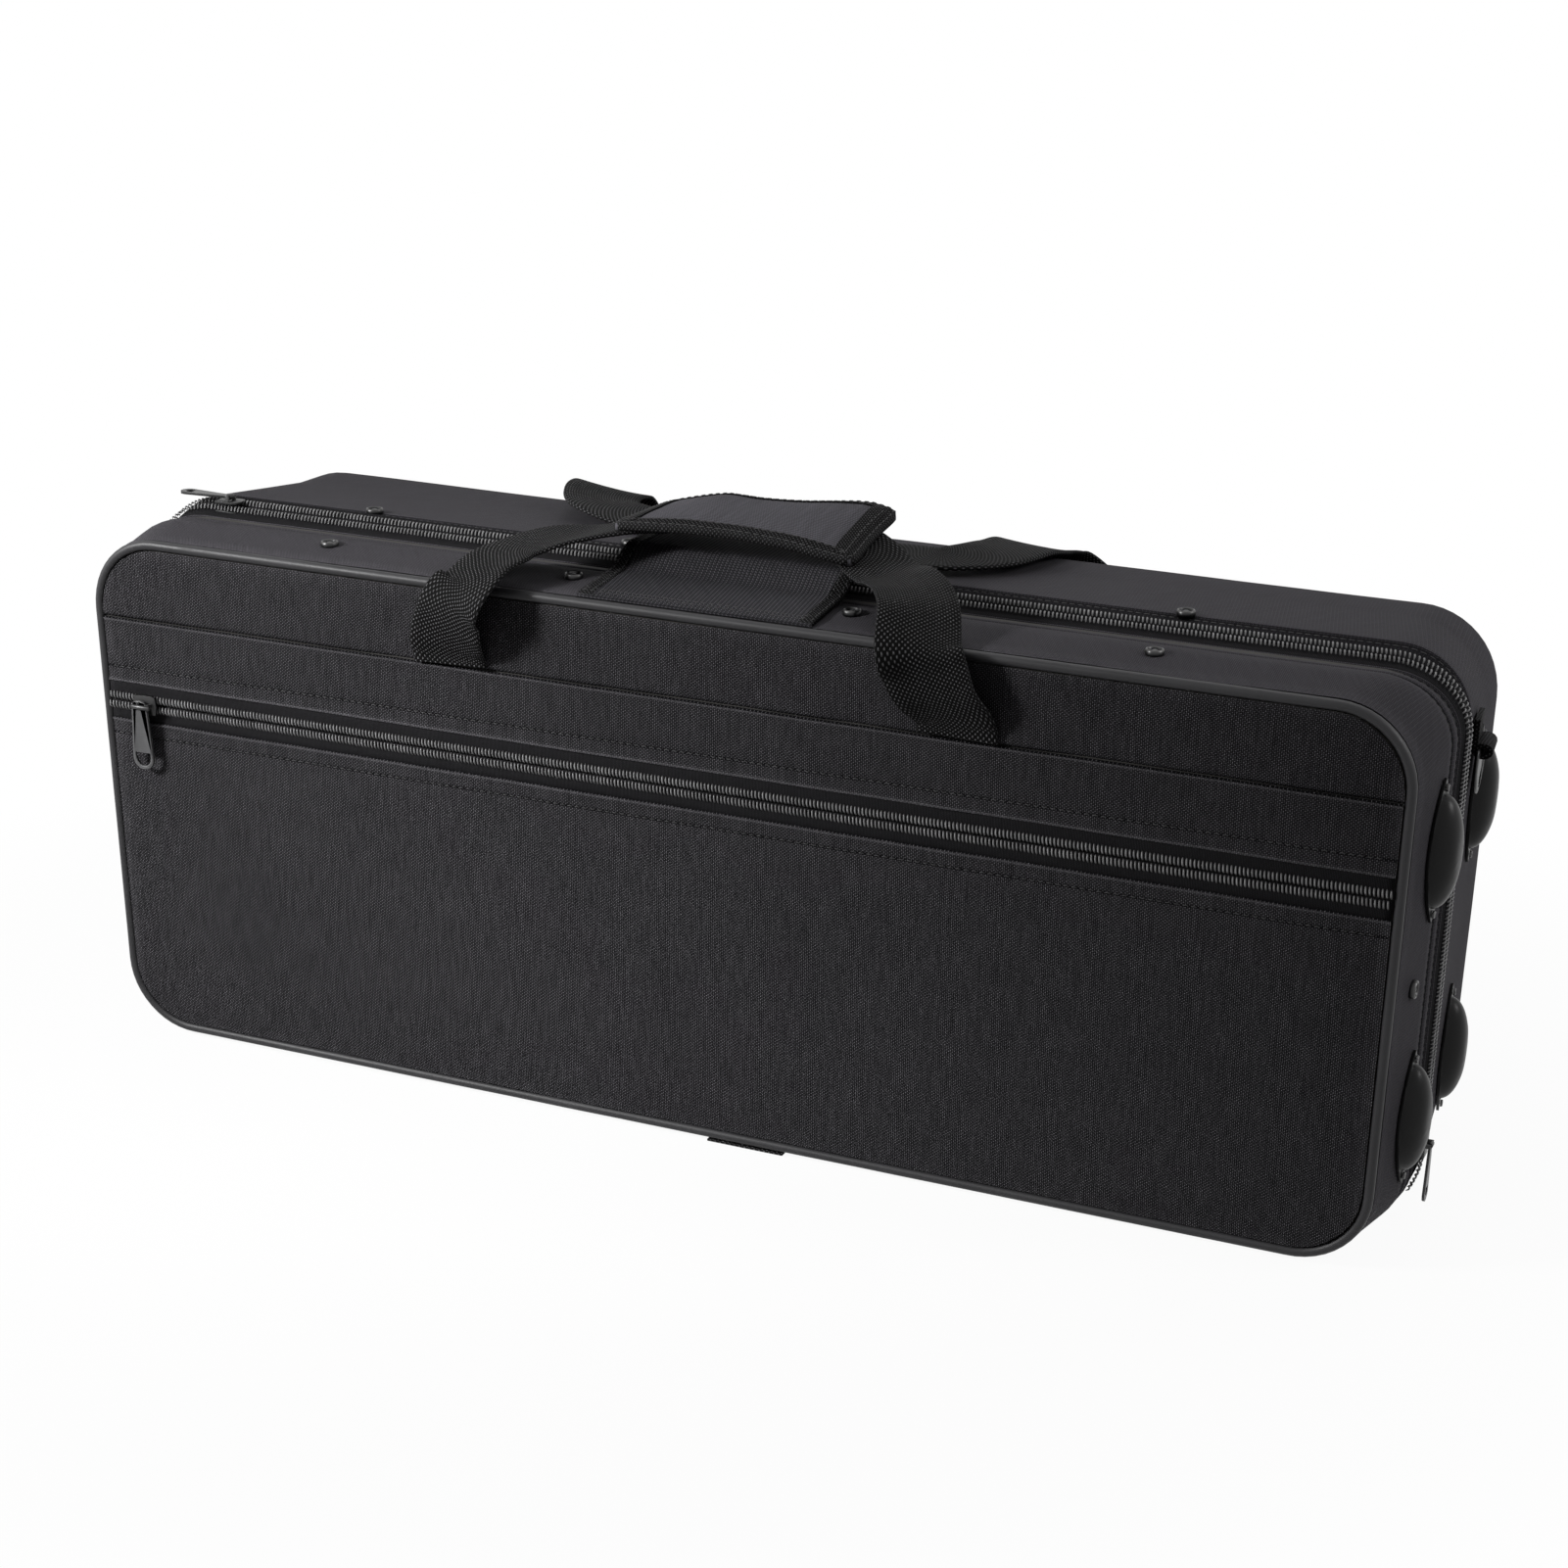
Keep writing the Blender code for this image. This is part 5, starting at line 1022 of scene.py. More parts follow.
def buildPocketZip():
    out = Vector((0, -1, 0))
    ahead = Vector((1, 0, 0))
    across = Vector((0, 0, 1))

    def place(x):
        return Vector((x, panelY, case["pocketZip"])), out, ahead

    loop, width = zips["pocket"], case["pocketOpening"] / 2
    count = round(2 * panelHalf / loop["pitch"])
    for name, side, shift in (("lower", -1, 0), ("upper", 1, 0.5)):
        frames = [place(-panelHalf + 2 * panelHalf * (index + shift) / count) for index in range(count)]
        buildTeeth("pocket_chain_" + name, "pocket_zip_teeth_" + name, "lid", frames, side, across, loop)
        frames = [place(x) for x in spaced(-panelHalf, panelHalf, tapes["step"])]
        buildTape("pocket_band_" + name, "pocket_zip_tape_" + name, "lid", frames, side, across, width)


print("zips")
buildMainZip()
buildPocketZip()

# Straps: the same routes as the CAD's, as shares from each foot to the middle: place along the case,
# depth, height, turn of the webbing from upright to flat, and tilt
straps = {
    "width": 0.038, "thick": 0.0020, "spacing": 0.254, "steps": 150, "standoff": 0.0014,
    "footZ": 0.2221, "frontRunY": -0.0295, "rearRunY": 0.026, "rearRunZ": 0.26675,
    "flapLevel": 0.27422, "flapThick": 0.0014, "flapBinding": 0.0004, "flapGap": 0.0003,
    "edgeCurl": 0.0004, "waver": 0.0008, "wave": 35, "edgeWear": 0.5, "wearAndPaintedLight": 0.05,
}
frontLeftShares = (
    (1.00, 0.00, 0.00, 0.00, 0), (1.00, -0.01, 0.07, 0.00, 0), (0.992, -0.06, 0.18, 0.00, 0),
    (0.965, -0.12, 0.38, 0.12, 0), (0.942, -0.135, 0.56, 0.19, 0), (0.895, -0.09, 0.73, 0.28, 0),
    (0.865, 0.11, 0.86, 0.44, 0), (0.815, 0.34, 0.935, 0.52, 0), (0.709, 0.52, 1.01, 0.62, 0),
    (0.567, 0.73, 1.00, 0.78, 0), (0.394, 0.93, 1.00, 0.92, 0), (0.157, 1.00, 1.00, 1.00, 0),
)
frontRightShares = (
    (1.00, 0.00, 0.00, 0.00, 0), (1.00, -0.01, 0.08, 0.00, 0), (0.99, -0.06, 0.19, 0.00, 0),
    (0.945, -0.15, 0.37, 0.06, 0), (0.91, -0.18, 0.553, 0.12, 0), (0.88, -0.175, 0.74, 0.30, 0),
    (0.835, 0.05, 0.94, 0.64, 0), (0.765, 0.29, 1.02, 0.82, 0), (0.675, 0.52, 1.03, 0.88, 0),
    (0.57, 0.72, 1.00, 0.92, 0), (0.44, 0.90, 0.99, 0.96, 0), (0.16, 1.00, 1.00, 1.00, 0),
)
rearLeftShares = (
    (1.00, 0.00, 0.00, 0.00, 0), (1.00, 0.00, 0.10, 0.00, 0), (1.00, -0.01, 0.356, 0.00, 0),
    (1.01, 0.045, 0.66, 0.00, 0), (1.03, 0.14, 0.95, 0.02, 0.08), (1.03, 0.33, 1.07, 0.10, 0.18),
    (1.00, 0.55, 1.08, 0.35, 0.22), (0.93, 0.76, 1.08, 0.65, 0.12), (0.82, 0.88, 1.06, 0.90, 0.05),
    (0.65, 0.94, 1.02, 1.00, 0), (0.35, 0.98, 1.00, 1.00, 0),
)
rearRightShares = (
    (1.00, 0.00, 0.00, 0.00, 0), (1.00, -0.007, 0.12, 0.00, 0), (0.997, -0.016, 0.22, 0.00, 0),
    (0.94, -0.022, 0.42, 0.00, 0), (0.84, 0.028, 0.68, 0.00, 0), (0.79, 0.145, 0.89, 0.05, 0),
    (0.765, 0.348, 1.00, 0.20, 0), (0.74, 0.60, 1.03, 0.42, 0), (0.70, 0.86, 1.05, 0.68, 0),
    (0.62, 1.06, 1.06, 0.90, 0), (0.51, 1.12, 1.05, 1.00, 0), (0.32, 1.03, 1.01, 1.00, 0),
)
grip = {
    "length": 0.122, "x": -0.001, "frontY": -0.058, "backY": 0.000, "core": 0.0064, "edge": 0.0030,
    "fade": 0.024, "gap": 0.0004, "soften": 0.004, "probe": 0.004,
    "frontEdge": (
        (-0.070, 0.0050), (-0.049, 0.0066), (-0.024, 0.0078), (0.002, 0.0078), (0.028, 0.0062),
        (0.054, 0.0022), (0.070, 0.0006),
    ),
    "backEdge": (
        (-0.070, 0.0026), (-0.062, 0.0036), (-0.046, 0.0072), (-0.025, 0.0122), (-0.012, 0.0112),
        (0.002, 0.0116), (0.015, 0.0125), (0.028, 0.0141), (0.045, 0.0160), (0.060, 0.0135), (0.070, 0.0110),
    ),
}
flapTop = straps["flapLevel"] + straps["flapThick"] + straps["flapBinding"]
frontRunZ = flapTop + straps["flapGap"] + straps["thick"] / 2
padZ = frontRunZ + straps["thick"] / 2 + grip["gap"]
gripY = (grip["frontY"] + grip["backY"]) / 2
gripMiddle = Vector((grip["x"], gripY, 0))


def heightAt(points, x):
    for (low, first), (high, second) in zip(points, points[1:]):
        if x <= high:
            return blend(first, second, min(1, max(0, (x - low) / (high - low))))
    return points[-1][1]


def edgeRise(points, x):
    return sum(heightAt(points, x + grip["soften"] * step) for step in (-1, -0.5, 0, 0.5, 1)) / 5


# How much higher the front strap and its grip lie than a level run, from their front and back edges
def gripRise(x, y):
    across = min(1, max(0, (y - grip["frontY"]) / (grip["backY"] - grip["frontY"])))
    beyond = max(0, abs(x - grip["x"]) - grip["length"] / 2)
    rise = blend(edgeRise(grip["frontEdge"], x), edgeRise(grip["backEdge"], x), across)
    return rise * ease(1 - beyond / grip["fade"])


# A smooth curve through points, in even steps from one to the next
def smoothRoute(points, steps):
    route = []
    for step in range(steps + 1):
        place = (len(points) - 1) * step / steps
        index = min(int(place), len(points) - 2)
        share = place - index
        before, here, after = points[max(index - 1, 0)], points[index], points[index + 1]
        beyond = points[min(index + 2, len(points) - 1)]
        route.append((here * 2 + (after - before) * share
                      + (before * 2 - here * 5 + after * 4 - beyond) * share ** 2
                      + (here * 3 - before - after * 3 + beyond) * share ** 3) / 2)
    return route


def legPoints(shares, side, footY, runY, runZ):
    reach = runY - footY
    points, widths = [], []
    for out, back, risen, turned, tipped in shares:
        x = side * straps["spacing"] / 2 * out
        z = straps["footZ"] + (runZ - straps["footZ"]) * risen
        points.append(Vector((x, footY + reach * back, z)))
        angle = math.pi / 2 * turned
        widths.append(Vector((-side * math.copysign(math.cos(angle), reach), -math.sin(angle), tipped)))
    return points, widths


# Webbing of rounded section along a route; its cloth map runs across and along it
def ribbonPiece(name, route, widths, body, node, rise):
    half, thick = straps["width"] / 2, straps["thick"] / 2
    section = [(share, 1) for share in (-0.97, -0.75, -0.5, -0.25, 0, 0.25, 0.5, 0.75, 0.97)]
    below = [(share, -1) for share, up in reversed(section)]
    section += [(1, 0.5), (1, -0.5)] + below + [(-1, -0.5), (-1, 0.5)] + section[:1]
    rows, along = [], 0
    for index, point in enumerate(route):
        ahead = (route[min(index + 1, len(route) - 1)] - route[max(index - 1, 0)]).normalized()
        if index:
            along += (point - route[index - 1]).length
        width = (widths[index] - ahead * widths[index].dot(ahead)).normalized()
        face = width.cross(ahead)
        row = []
        across = 0
        before = None
        for share, up in section:
            curl = straps["edgeCurl"] * share * share + ripple(point, straps["wave"], straps["waver"]) * share
            corner = point + width * half * share + face * (thick * up + curl)
            if rise:
                corner.z += rise(corner.x, corner.y)
            if before is not None:
                across += abs(share - before[0]) * half + abs(up - before[1]) * thick
            before = (share, up)
            row.append((corner, (across, along), straps["edgeWear"] if abs(share) == 1 else straps["wearAndPaintedLight"]))
        rows.append(row)
    piece = gridPiece(name, rows, body, "webbing")
    shape = bmesh.new()
    shape.from_mesh(piece.data)
    bmesh.ops.remove_doubles(shape, verts=shape.verts, dist=1e-6)
    bmesh.ops.holes_fill(shape, edges=shape.edges, sides=0)
    bmesh.ops.recalc_face_normals(shape, faces=shape.faces)
    shape.to_mesh(piece.data)
    shape.free()
    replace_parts(piece, node)


def buildStrap(name, node, body, leftShares, rightShares, footY, run, rise=None):
    left, leftWidths = legPoints(leftShares, -1, footY, run.y, run.z)
    right, rightWidths = legPoints(rightShares, 1, footY, run.y, run.z)
    points = left + [run] + list(reversed(right))
    widths = leftWidths + [Vector((0, -1, 0))] + list(reversed(rightWidths))
    route, widths = smoothRoute(points, straps["steps"]), smoothRoute(widths, straps["steps"])
    ribbonPiece(name, route, widths, body, node, rise)


print("straps")
buildStrap("front_strap_webbing", "handle_strap_front", "front_handle", frontLeftShares, frontRightShares,
           panelY - straps["standoff"], Vector((grip["x"], straps["frontRunY"], frontRunZ)), gripRise)
buildStrap("rear_strap_webbing", "handle_strap_rear", "rear_handle", rearLeftShares, rearRightShares,
           backY + straps["standoff"], Vector((0, straps["rearRunY"], straps["rearRunZ"])))

# The grip: a padded saddle, swollen by a cloth simulation, with webbing sewn round its edge and over its ends
pad = {
    "columns": 64, "rows": 30, "drawIn": 0.0020, "slack": 0.0005, "fill": 0.7,
    "pressure": 6, "swell": 0.0014, "stiffness": 25, "bending": 0.6, "mass": 0.2, "quality": 6, "frames": 20,
}
# Rows of the binding's and the bands' cloth on the pad: share of the width, lift in thicknesses, wear and
# painted shade (the row tucked down into the pad is painted dark as shade); the binding's side rows: share of
# the way up, distance inwards, rise, distance along the cloth, wear
binding = {
    "width": 0.0052, "thick": 0.0007, "cornerShare": 0.07, "cornerSteps": 6, "sideSteps": 14,
    "rows": ((1.08, -0.3, -2.5), (0.98, 1, -0.6), (0.6, 1.1, 0), (0.25, 1.1, 0), (0.05, 0.9, 0.3)),
    "sideRows": (
        (1, -0.00063, 0.0001, 0.0010, 0.5), (0.5, -0.0007, 0, 0.0022, 0.2),
        (0, -0.00063, 0.0002, 0.0034, 0.4), (0, 0.0012, -0.0001, 0.0052, 0), (0, 0.0020, 0.0006, 0.0060, 0),
    ),
    "bandWidth": 0.0112, "bandInset": 0.0030, "bandStep": 0.002,
    "bandRows": ((1.04, -0.3, -2.5), (1, 1.15, -0.6), (0.8, 1.25, 0), (0.6, 1.25, 0), (0.35, 1.2, 0)),
    "seamShares": (0.12, 0.86), "seamLift": 0.004, "endFrom": 0.93, "sideFrom": 0.86,
    "bandSeam": 0.0095, "bandSeamInset": 0.008, "bandSeamStep": 0.006, "bandSeamLift": 0.02,
}
above = 0.4     # higher than anything on the case


def padPoint(u, v, face):
    half = grip["length"] / 2
    halfWidth = (grip["backY"] - grip["frontY"]) / 2
    drawIn = pad["drawIn"]
    x = grip["x"] + u * (half - drawIn * (1 - v * v) * abs(u) - drawIn * v ** 6 * abs(u))
    y = gripY + v * (halfWidth - drawIn * (1 - u * u) * abs(v) - drawIn * u ** 6 * abs(v))
    low = Vector((x, y, padZ + gripRise(x, y)))
    if not face:
        return low
    probe = grip["probe"]
    slopeX = (gripRise(x + probe, y) - gripRise(x - probe, y)) / (2 * probe)
    slopeY = (gripRise(x, y + probe) - gripRise(x, y - probe)) / (2 * probe)
    normal = Vector((-slopeX * (1 - u ** 8), -slopeY, 1)).normalized()
    core = grip["core"] - pad["slack"]
    return low + normal * (grip["edge"] + (core - grip["edge"]) * (1 - u ** 6) * (1 - v ** 4))


def inflate(piece, pins):
    starts = [corner.co.copy() for corner in piece.data.vertices]
    group = piece.vertex_groups.new(name="sewn")
    group.add(pins, 1, "REPLACE")
    modifier = piece.modifiers.new("Cloth", "CLOTH")
    settings = modifier.settings
    settings.quality = pad["quality"]
    settings.mass = pad["mass"]
    settings.tension_stiffness = settings.compression_stiffness = settings.shear_stiffness = pad["stiffness"]
    settings.bending_stiffness = pad["bending"]
    settings.use_pressure = True
    settings.uniform_pressure_force = pad["pressure"]
    settings.effector_weights.gravity = 0
    settings.vertex_group_mass = "sewn"
    modifier.point_cache.frame_start = 1
    modifier.point_cache.frame_end = pad["frames"]
    for number in range(1, pad["frames"] + 1):
        scene.frame_set(number)
    shaped = piece.evaluated_get(bpy.context.evaluated_depsgraph_get()).data
    ends = [corner.co.copy() for corner in shaped.vertices]
    piece.modifiers.clear()
    piece.vertex_groups.clear()
    scene.frame_set(1)
    for corner, start, end in zip(piece.data.vertices, starts, ends):
        move = end - start
        corner.co = start + move * min(1, pad["swell"] / max(move.length, 1e-9))


# Places round the pad's edge as (u, v), with rounded corners; they close on the first
def padBorder():
    places = []
    wide, tall = binding["cornerShare"], binding["cornerShare"] * 2
    middles = [(u * (1 - wide), v * (1 - tall)) for u, v in ((1, 1), (-1, 1), (-1, -1), (1, -1))]
    for index, (u, v) in enumerate(middles):
        for step in range(binding["cornerSteps"] + 1):
            angle = math.pi / 2 * (index + step / binding["cornerSteps"])
            places.append((u + wide * math.cos(angle), v + tall * math.sin(angle)))
        (startU, startV), (nextU, nextV) = places[-1], middles[(index + 1) % 4]
        endU, endV = nextU + wide * math.cos(angle), nextV + tall * math.sin(angle)
        for step in range(1, binding["sideSteps"]):
            share = step / binding["sideSteps"]
            places.append((blend(startU, endU, share), blend(startV, endV, share)))
    return places + places[:1]


def buildPad():
    columns, rows = pad["columns"], pad["rows"]
    shape = bmesh.new()
    layer = shape.loops.layers.uv.new("cloth")
    shape.verts.layers.float.new("wearAndPaintedLight")
    low, high = [[[shape.verts.new(padPoint(2 * column / columns - 1, 2 * row / rows - 1, face))
                   for column in range(columns + 1)] for row in range(rows + 1)] for face in (0, 1)]
    for turned, grid in enumerate((low, high)):
        for first, second in zip(grid, grid[1:]):
            for column in range(columns):
                corners = (first[column], first[column + 1], second[column + 1], second[column])
                shape.faces.new(corners if turned else tuple(reversed(corners)))
    border = [(0, column) for column in range(columns)] + [(row, columns) for row in range(rows)]
    border += [(rows, columns - column) for column in range(columns)]
    border += [(rows - row, 0) for row in range(rows)]
    sides = [(low[row][column], high[row][column]) for row, column in border]
    for first, second in zip(sides, sides[1:] + sides[:1]):
        shape.faces.new((first[0], second[0], second[1], first[1]))
    shape.verts.index_update()
    pins = [corner.index for line in low for corner in line]
    pins += [side[1].index for side in sides]
    for face in shape.faces:
        face.smooth = True
        for loop in face.loops:
            loop[layer].uv = (loop.vert.co.x, loop.vert.co.y)
    piece = addPiece("grip_pad", shape, "front_handle", "padCloth")
    inflate(piece, pins)
    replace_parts(piece, "handle_grip")
    return piece


def heightOn(tree, x, y, fallback):
    hit = tree.ray_cast(Vector((x, y, above)), down)[0]
    return hit.z if hit else fallback


# The binding goes over the pad's edge, down its side and a little way under it
def buildBinding(tree, border):
    width, thick = binding["width"], binding["thick"]
    rows, along, before = [], 0, None
    count = len(border) - 1
    for index, (u, v) in enumerate(border):
        low, high = padPoint(u, v, 0), padPoint(u, v, 1)
        ahead = padPoint(*border[(index + 1) % count], 0) - padPoint(*border[(index - 1) % count], 0)
        inward = Vector((-ahead.y, ahead.x, 0)).normalized()
        if inward.dot(gripMiddle - low) < 0:
            inward = -inward
        if before is not None:
            along += (low - before).length
        before = low
        row = []
        for share, lift, wearAndPaintedLight in binding["rows"]:
            spot = high + inward * width * share
            spot.z = heightOn(tree, spot.x, spot.y, high.z) + thick * lift
            row.append((spot, (along, width * (1 - share)), wearAndPaintedLight))
        for share, inset, rise, past, wearAndPaintedLight in binding["sideRows"]:
            spot = low.lerp(high, share) + inward * inset + Vector((0, 0, rise))
            row.append((spot, (along, width + past), wearAndPaintedLight))
        rows.append(row)
    piece = gridPiece("grip_binding", rows, "front_handle", "binding")
    return piece


def buildBand(tree, name, side):
    rows = []
    margin = binding["bandInset"]
    for y in spaced(grip["frontY"] + margin, grip["backY"] - margin, binding["bandStep"]):
        row = []
        for share, lift, wearAndPaintedLight in binding["bandRows"]:
            inset = binding["bandWidth"] * share
            x = grip["x"] + side * (grip["length"] / 2 - inset)
            v = (y - gripMiddle.y) / (grip["backY"] - gripMiddle.y)
            edge = padPoint(2 * (x - grip["x"]) / grip["length"], v, 1)
            spot = Vector((x, y, heightOn(tree, x, y, edge.z) + binding["thick"] * lift))
            row.append((spot, (inset, y), wearAndPaintedLight))
        rows.append(row)
    gridPiece(name, rows, "front_handle", "binding", side < 0)


# Two rows of stitches round the binding and one across each end band
def gripRoutes(border):
    routes = []
    for share in binding["seamShares"]:
        route = []
        for u, v in border:
            edge = padPoint(u, v, 1)
            inward = Vector((gripMiddle.x - edge.x, gripMiddle.y - edge.y, 0))
            sideways = Vector((inward.x if abs(u) > binding["endFrom"] else 0,
                               inward.y if abs(v) > binding["sideFrom"] else 0, 0))
            sideways = (sideways if sideways.length > 0 else inward).normalized()
            lift = Vector((0, 0, binding["seamLift"]))
            route.append((edge + sideways * binding["width"] * share + lift, down))
        routes.append(route)
    low, high = grip["frontY"] + binding["bandSeamInset"], grip["backY"] - binding["bandSeamInset"]
    for side in (1, -1):
        x = grip["x"] + side * (grip["length"] / 2 - binding["bandSeam"])
        routes.append([(Vector((x, y, padZ + binding["bandSeamLift"])), down)
                       for y in spaced(low, high, binding["bandSeamStep"])])
    return routes


def buildGrip():
    piece = buildPad()
    tree = surfaceOf(piece)
    border = padBorder()
    edge = buildBinding(tree, border)
    for name, side in (("grip_band_left", -1), ("grip_band_right", 1)):
        buildBand(tree, name, side)
    stitchPiece("grip_stitches", "front_handle", surfaceOf(piece, edge), gripRoutes(border))


# The flap over the zip: twill cloth, bound along its sides and sewn down at the piping
flap = {
    "left": -0.062, "right": 0.055, "binding": 0.007, "near": -0.0885, "far": 0.001, "slack": 0.0001,
    "tuck": 0.0014, "footDrop": 0.0011, "footDepth": 0.001, "bevel": 0.0002,
    "seamInsets": (0.0014, 0.0058), "seamStep": 0.003, "seamLift": 0.010,
    "footSeams": (0.0015, 0.0045), "footSeamStep": 0.01, "footSeamInset": 0.001,
}


def buildFlap():
    piece = refine("zip_flap", "flap_cloth", "flapCloth", flap["bevel"], 0)
    for corner in piece.data.vertices:
        if corner.co.y < flap["near"] + flap["footDepth"]:
            corner.co.y -= flap["tuck"]
            corner.co.z -= flap["footDrop"]
    piece.data.materials.append(materials["binding"])
    margin = flap["binding"] + flap["slack"]
    for face in piece.data.polygons:
        if not flap["left"] + margin <= face.center.x <= flap["right"] - margin:
            face.material_index = 1
    routes = []
    for edge, side in ((flap["left"], 1), (flap["right"], -1)):
        for inset in flap["seamInsets"]:
            routes.append([(Vector((edge + side * inset, y, case["height"] + flap["seamLift"])), down)
                           for y in spaced(flap["near"], flap["far"], flap["seamStep"])])
    low, high = flap["left"] + flap["footSeamInset"], flap["right"] - flap["footSeamInset"]
    for inset in flap["footSeams"]:
        routes.append([(Vector((x, flap["near"] + inset, case["height"])), down)
                       for x in spaced(low, high, flap["footSeamStep"])])
    stitchPiece("flap_stitches", "lid", surfaceOf(piece), routes)


# Plush foam of the bed and the lid: remeshed so that every edge is soft
foam = {"voxel": 0.0035, "relax": 0.5, "turns": 6, "sink": 0.0003, "ripple": 0.0006, "wave": 60, "fill": 0.9}


def buildFoam(node, name):
    piece = copyOf(node, name)
    remesh = piece.modifiers.new("Remesh", "REMESH")
    remesh.mode = "VOXEL"
    remesh.voxel_size = foam["voxel"]
    relax = piece.modifiers.new("Relax", "SMOOTH")
    relax.factor = foam["relax"]
    relax.iterations = foam["turns"]
    applyModifiers(piece)
    places = [(corner.co.copy(), corner.normal.copy()) for corner in piece.data.vertices]
    for corner, (place, normal) in zip(piece.data.vertices, places):
        corner.co = place - normal * (foam["sink"] + abs(ripple(place, foam["wave"], foam["ripple"])))
    finishCopy(piece, node, "plush")


print("grip, flap and foam")
buildGrip()
buildFlap()
buildFoam("foam_insert", "bed_plush")
buildFoam("lid_foam", "lid_plush")

# Rivets: a rolled rim round a hollow face with a raised middle, in rings of (share of the CAD's radius,
# share of its height, wear and painted light): the foot ring is painted dark as a shadow, the hollow as
# shade, and the rim and raised middle light as wear and a painted highlight
rivet = {
    "sides": 28, "lift": 0.0004,
    "profileShares": (
        (1.03, -0.6, -0.5), (1.03, 0.25, -0.3), (1.0, 0.62, 0.1), (0.93, 0.92, 0.6), (0.84, 1.0, 0.7),
        (0.76, 0.86, 0.2), (0.70, 0.55, -0.5), (0.60, 0.42, -0.4), (0.42, 0.50, 0), (0.26, 0.72, 0.3),
        (0.12, 0.80, 0.4), (0.02, 0.81, 0.4),
    ),
}


def buildRivet(node):
    source = frame["nodes"][node]
    corners = [corner.co for corner in source.data.vertices]
    low = Vector([min(corner[axis] for corner in corners) for axis in range(3)])
    high = Vector([max(corner[axis] for corner in corners) for axis in range(3)])
    axis = Vector((1, 0, 0)) if node == "rivet_lid_end" else Vector((0, 0, 1))
    side = Vector((0, 1, 0))
    other = axis.cross(side)
    middle = (low + high) / 2
    height = (high - low).dot(axis) + rivet["lift"]
    foot = middle + axis * (low - middle).dot(axis)
    radius = (high.y - low.y) / 2
    shape = newRings()
    profile = rivet["profileShares"]
    rings = [(foot + axis * height * up, side * radius * far, other * radius * far)
             for far, up, wearAndPaintedLight in profile]
    addRings(shape, rings, rivet["sides"], [wearAndPaintedLight for far, up, wearAndPaintedLight in profile])
    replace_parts(ringPiece(node + "_form", shape, body_of(source)[0], "gunmetal"), node)


# The pocket's pull: a painted plate with a slot for the bar of its slider and a D-shaped hole below
pull = {
    "x": -0.3036, "y": -0.0995, "thick": 0.0016, "bevel": 0.0004,
    "top": 0.1812, "topHalf": 0.0044, "topRound": 0.0026,
    "low": 0.1458, "lowHalf": 0.0060, "lowRound": 0.0056,
    "slotHalf": 0.0030, "slotTop": 0.1798, "slotLow": 0.1768,
    "holeHalf": 0.0043, "holeTop": 0.1545, "holeLow": 0.1476, "holeSide": 0.0018,
    "barX": 0.0014, "barY": 0.0012, "barZ": 0.1782, "barHalf": 0.0056, "barRadius": 0.0012,
    "barSides": 12, "barWear": 0.4,
    "barShares": ((-1.0, 0.35), (-0.96, 0.75), (-0.86, 1), (0.86, 1), (0.96, 0.75), (1.0, 0.35)),
}


def roundEnd(z, half, tall, sense):
    angles = [math.pi * step / 10 for step in range(11)]
    return [(pull["x"] + sense * half * math.cos(angle), z + sense * tall * math.sin(angle))
            for angle in angles]


def buildPull():
    x = pull["x"]
    plate = roundEnd(pull["top"] - pull["topRound"], pull["topHalf"], pull["topRound"], 1)
    plate += roundEnd(pull["low"] + pull["lowRound"], pull["lowHalf"], pull["lowRound"], -1)
    slot = [(x + pull["slotHalf"] * side, z) for side, z in
            ((1, pull["slotLow"]), (1, pull["slotTop"]), (-1, pull["slotTop"]), (-1, pull["slotLow"]))]
    bowZ = pull["holeTop"] - pull["holeSide"]
    hole = roundEnd(bowZ, pull["holeHalf"], bowZ - pull["holeLow"], -1)
    hole += [(x + pull["holeHalf"], pull["holeTop"]), (x - pull["holeHalf"], pull["holeTop"])]
    shape = bmesh.new()
    edges = []
    for loop in (plate, slot, hole):
        corners = [shape.verts.new((across, pull["y"] + pull["thick"] / 2, up)) for across, up in loop]
        edges += [shape.edges.new((corners[index - 1], corners[index])) for index in range(len(corners))]
    filled = bmesh.ops.triangle_fill(shape, use_beauty=True, edges=edges, normal=(0, -1, 0))["geom"]
    faces = [face for face in filled if isinstance(face, bmesh.types.BMFace)]
    raised = bmesh.ops.extrude_face_region(shape, geom=faces)["geom"]
    for corner in raised:
        if isinstance(corner, bmesh.types.BMVert):
            corner.co.y -= pull["thick"]
    bmesh.ops.dissolve_limit(shape, angle_limit=finish["flatAngle"], verts=shape.verts, edges=shape.edges)
    bmesh.ops.recalc_face_normals(shape, faces=shape.faces)
    rim = [edge for edge in shape.edges if edge.is_manifold and edge.calc_face_angle() > 0.8]
    bmesh.ops.bevel(shape, geom=rim, offset=pull["bevel"], segments=2, profile=0.5, affect="EDGES")
    piece = addPiece("pocket_pull_form", shape, "pocket_pull", "paint")
    finishMesh(piece.data)
    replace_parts(piece, "pocket_pull")


# The bar that the pull hangs on, across its slider
def buildPullBar():
    shape = newRings()
    rings = []
    for share, thickShare in pull["barShares"]:
        x = pull["x"] + pull["barX"] + pull["barHalf"] * share
        radius = pull["barRadius"] * thickShare
        centre = Vector((x, pull["y"] - pull["barY"], pull["barZ"]))
        rings.append((centre, Vector((0, radius, 0)), Vector((0, 0, radius))))
    addRings(shape, rings, pull["barSides"], pull["barWear"])
    ringPiece("pocket_slider_bar", shape, "pocket_slider", "blackMetal")


buildPull()
buildPullBar()

print("fittings")
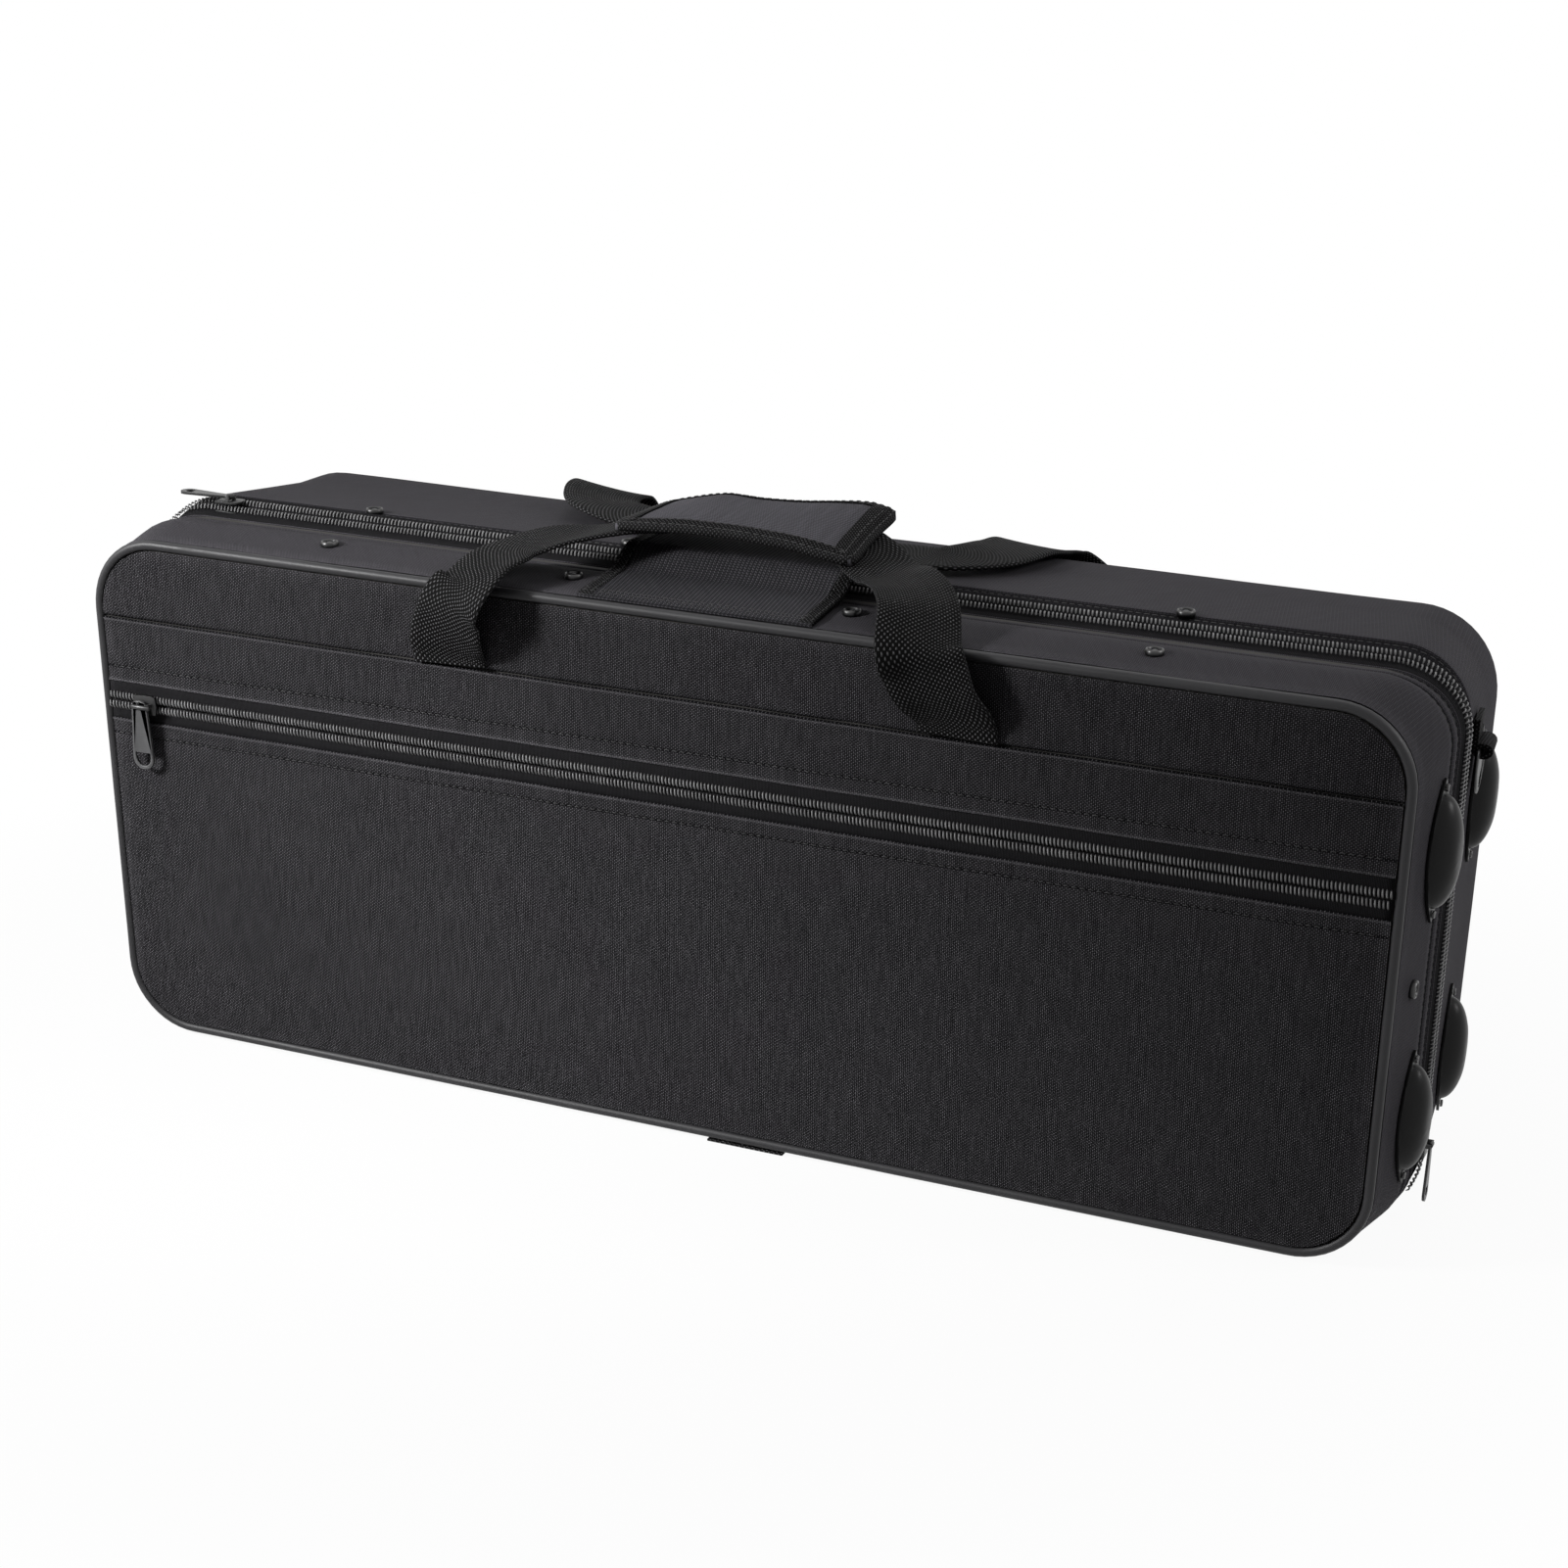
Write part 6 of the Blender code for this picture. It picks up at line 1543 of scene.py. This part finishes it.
# Rigid and flat pieces: CAD node, material, edge radius, smoothing level
fittings = [
    ("front_shell", "board", 0.0005, 0), ("rear_shell", "board", 0.0005, 0),
    ("hinge_band_front", "webbing", 0.0003, 0), ("hinge_band_rear", "webbing", 0.0003, 0),
    ("base_strap_front", "webbing", 0.0003, 0), ("base_strap_rear", "webbing", 0.0003, 0),
    ("ring_tab_left", "binding", 0.0003, 0), ("ring_tab_right", "binding", 0.0003, 0),
    ("d_ring_left", "blackMetal", 0, 2), ("d_ring_right", "blackMetal", 0, 2),
]
for name in frame["nodes"]:
    if name.startswith("bumper"):
        fittings.append((name, "gunmetal", 0.0001, 1) if "screw" in name else (name, "bumper", 0.0003, 2))
    elif name.startswith("rivet"):
        buildRivet(name)
    elif name.endswith(("_slider", "slider_left", "slider_right", "pull_left", "pull_right")):
        fittings.append((name, "blackMetal", 0.0003, 0))
# The left slider follows the hollow along the zip, and the ring tabs stand out further than the CAD's
fitting = {"sliderX": -0.29, "tabStretch": 0.3, "tabFoot": 0.003}
for node, material, bevel, level in fittings:
    piece = refine(node, node + "_form", material, bevel, level)
    for corner in piece.data.vertices:
        if node in ("main_slider_left", "main_pull_left"):
            corner.co.z -= dip(fitting["sliderX"], zipY, 1)
        elif node in ("ring_tab_right", "ring_tab_left"):
            away = max(0, abs(corner.co.x) - halfLength - fitting["tabFoot"])
            corner.co.x += math.copysign(away * fitting["tabStretch"], corner.co.x)

# Floor, world and lamps
studio = {
    "floorColour": (0.85, 0.85, 0.85), "floorHalf": 6, "floorZ": -0.0004, "floorRoughness": 0.9,
    "worldLight": 0.12, "shadowShare": 0.06, "shadowNear": 0.30, "shadowFar": 0.62,
}


# One for what the camera sees directly, in a reflection or through something; nought for what lights the case
def seenAsWhite(root):
    camera = root.node("LightPath", {}, {}, 0)
    glossy = root.node("LightPath", {}, {}, 3)
    through = root.node("LightPath", {}, {}, 6)
    return root.math("MAXIMUM", root.math("MAXIMUM", camera, glossy), through)


def buildWorld():
    world = scene.world or bpy.data.worlds.new("world")
    scene.world = world
    world.use_nodes = True
    root = Socket(world.node_tree)
    background = world.node_tree.nodes["Background"]
    background.inputs["Color"].default_value = (1, 1, 1, 1)
    strength = seenAsWhite(root) * (1 - studio["worldLight"]) + studio["worldLight"]
    world.node_tree.links.new(strength.source, background.inputs["Strength"])


def buildFloor():
    half = studio["floorHalf"]
    shape = bmesh.new()
    shape.faces.new([shape.verts.new((x * half, y * half, studio["floorZ"]))
                     for x, y in ((-1, -1), (1, -1), (1, 1), (-1, 1))])
    mesh = bpy.data.meshes.new("floor")
    shape.to_mesh(mesh)
    shape.free()
    floor = bpy.data.objects.new("floor", mesh)
    scene.collection.objects.link(floor)
    material = bpy.data.materials.new("floor")
    material.use_nodes = True
    tree = material.node_tree
    root = Socket(tree)
    shader = tree.nodes["Principled BSDF"]
    shader.inputs["Base Color"].default_value = (*studio["floorColour"], 1)
    shader.inputs["Roughness"].default_value = studio["floorRoughness"]
    shader.inputs["Specular IOR Level"].default_value = 0
    away = root.node("VectorMath", {"operation": "LENGTH"}, {0: objectPlace(root)}, 1)
    near = (studio["shadowFar"] - away) / (studio["shadowFar"] - studio["shadowNear"])
    white = seenAsWhite(root) * (1 - root.node("Clamp", {}, {0: near}) * studio["shadowShare"])
    glow = root.node("Emission", {}, {"Color": (1, 1, 1, 1), "Strength": 1.0})
    mixed = root.node("MixShader", {}, {0: white, 1: Socket(tree, shader.outputs[0]), 2: glow})
    tree.links.new(mixed.source, tree.nodes["Material Output"].inputs["Surface"])
    mesh.materials.append(material)


def addLamp(name, place, target, size, power, spread):
    lamp = bpy.data.lights.new(name, "AREA")
    lamp.shape = "RECTANGLE"
    lamp.size, lamp.size_y = size
    lamp.energy = power
    lamp.spread = math.radians(spread)
    holder = bpy.data.objects.new(name, lamp)
    scene.collection.objects.link(holder)
    back = (Vector(place) - Vector(target)).normalized()
    holder.matrix_world = Matrix.Translation(place) @ back.to_track_quat("Z", "Y").to_matrix().to_4x4()


# Each lamp: place, target, size, power in watts, spread in degrees
lamps = (
    ("key", (-1.05, -0.90, 0.78), (-0.16, -0.09, 0.15), (0.3, 0.3), 1.9, 38),
    ("top", (-0.1, 0.35, 1.5), (-0.05, 0, 0.2), (1.3, 0.9), 3.1, 150),
    ("end", (1.3, 0.20, 0.95), (0.33, 0, 0.32), (0.4, 0.4), 0.5, 42),
)
print("studio")
buildWorld()
buildFloor()
for lamp in lamps:
    addLamp(*lamp)
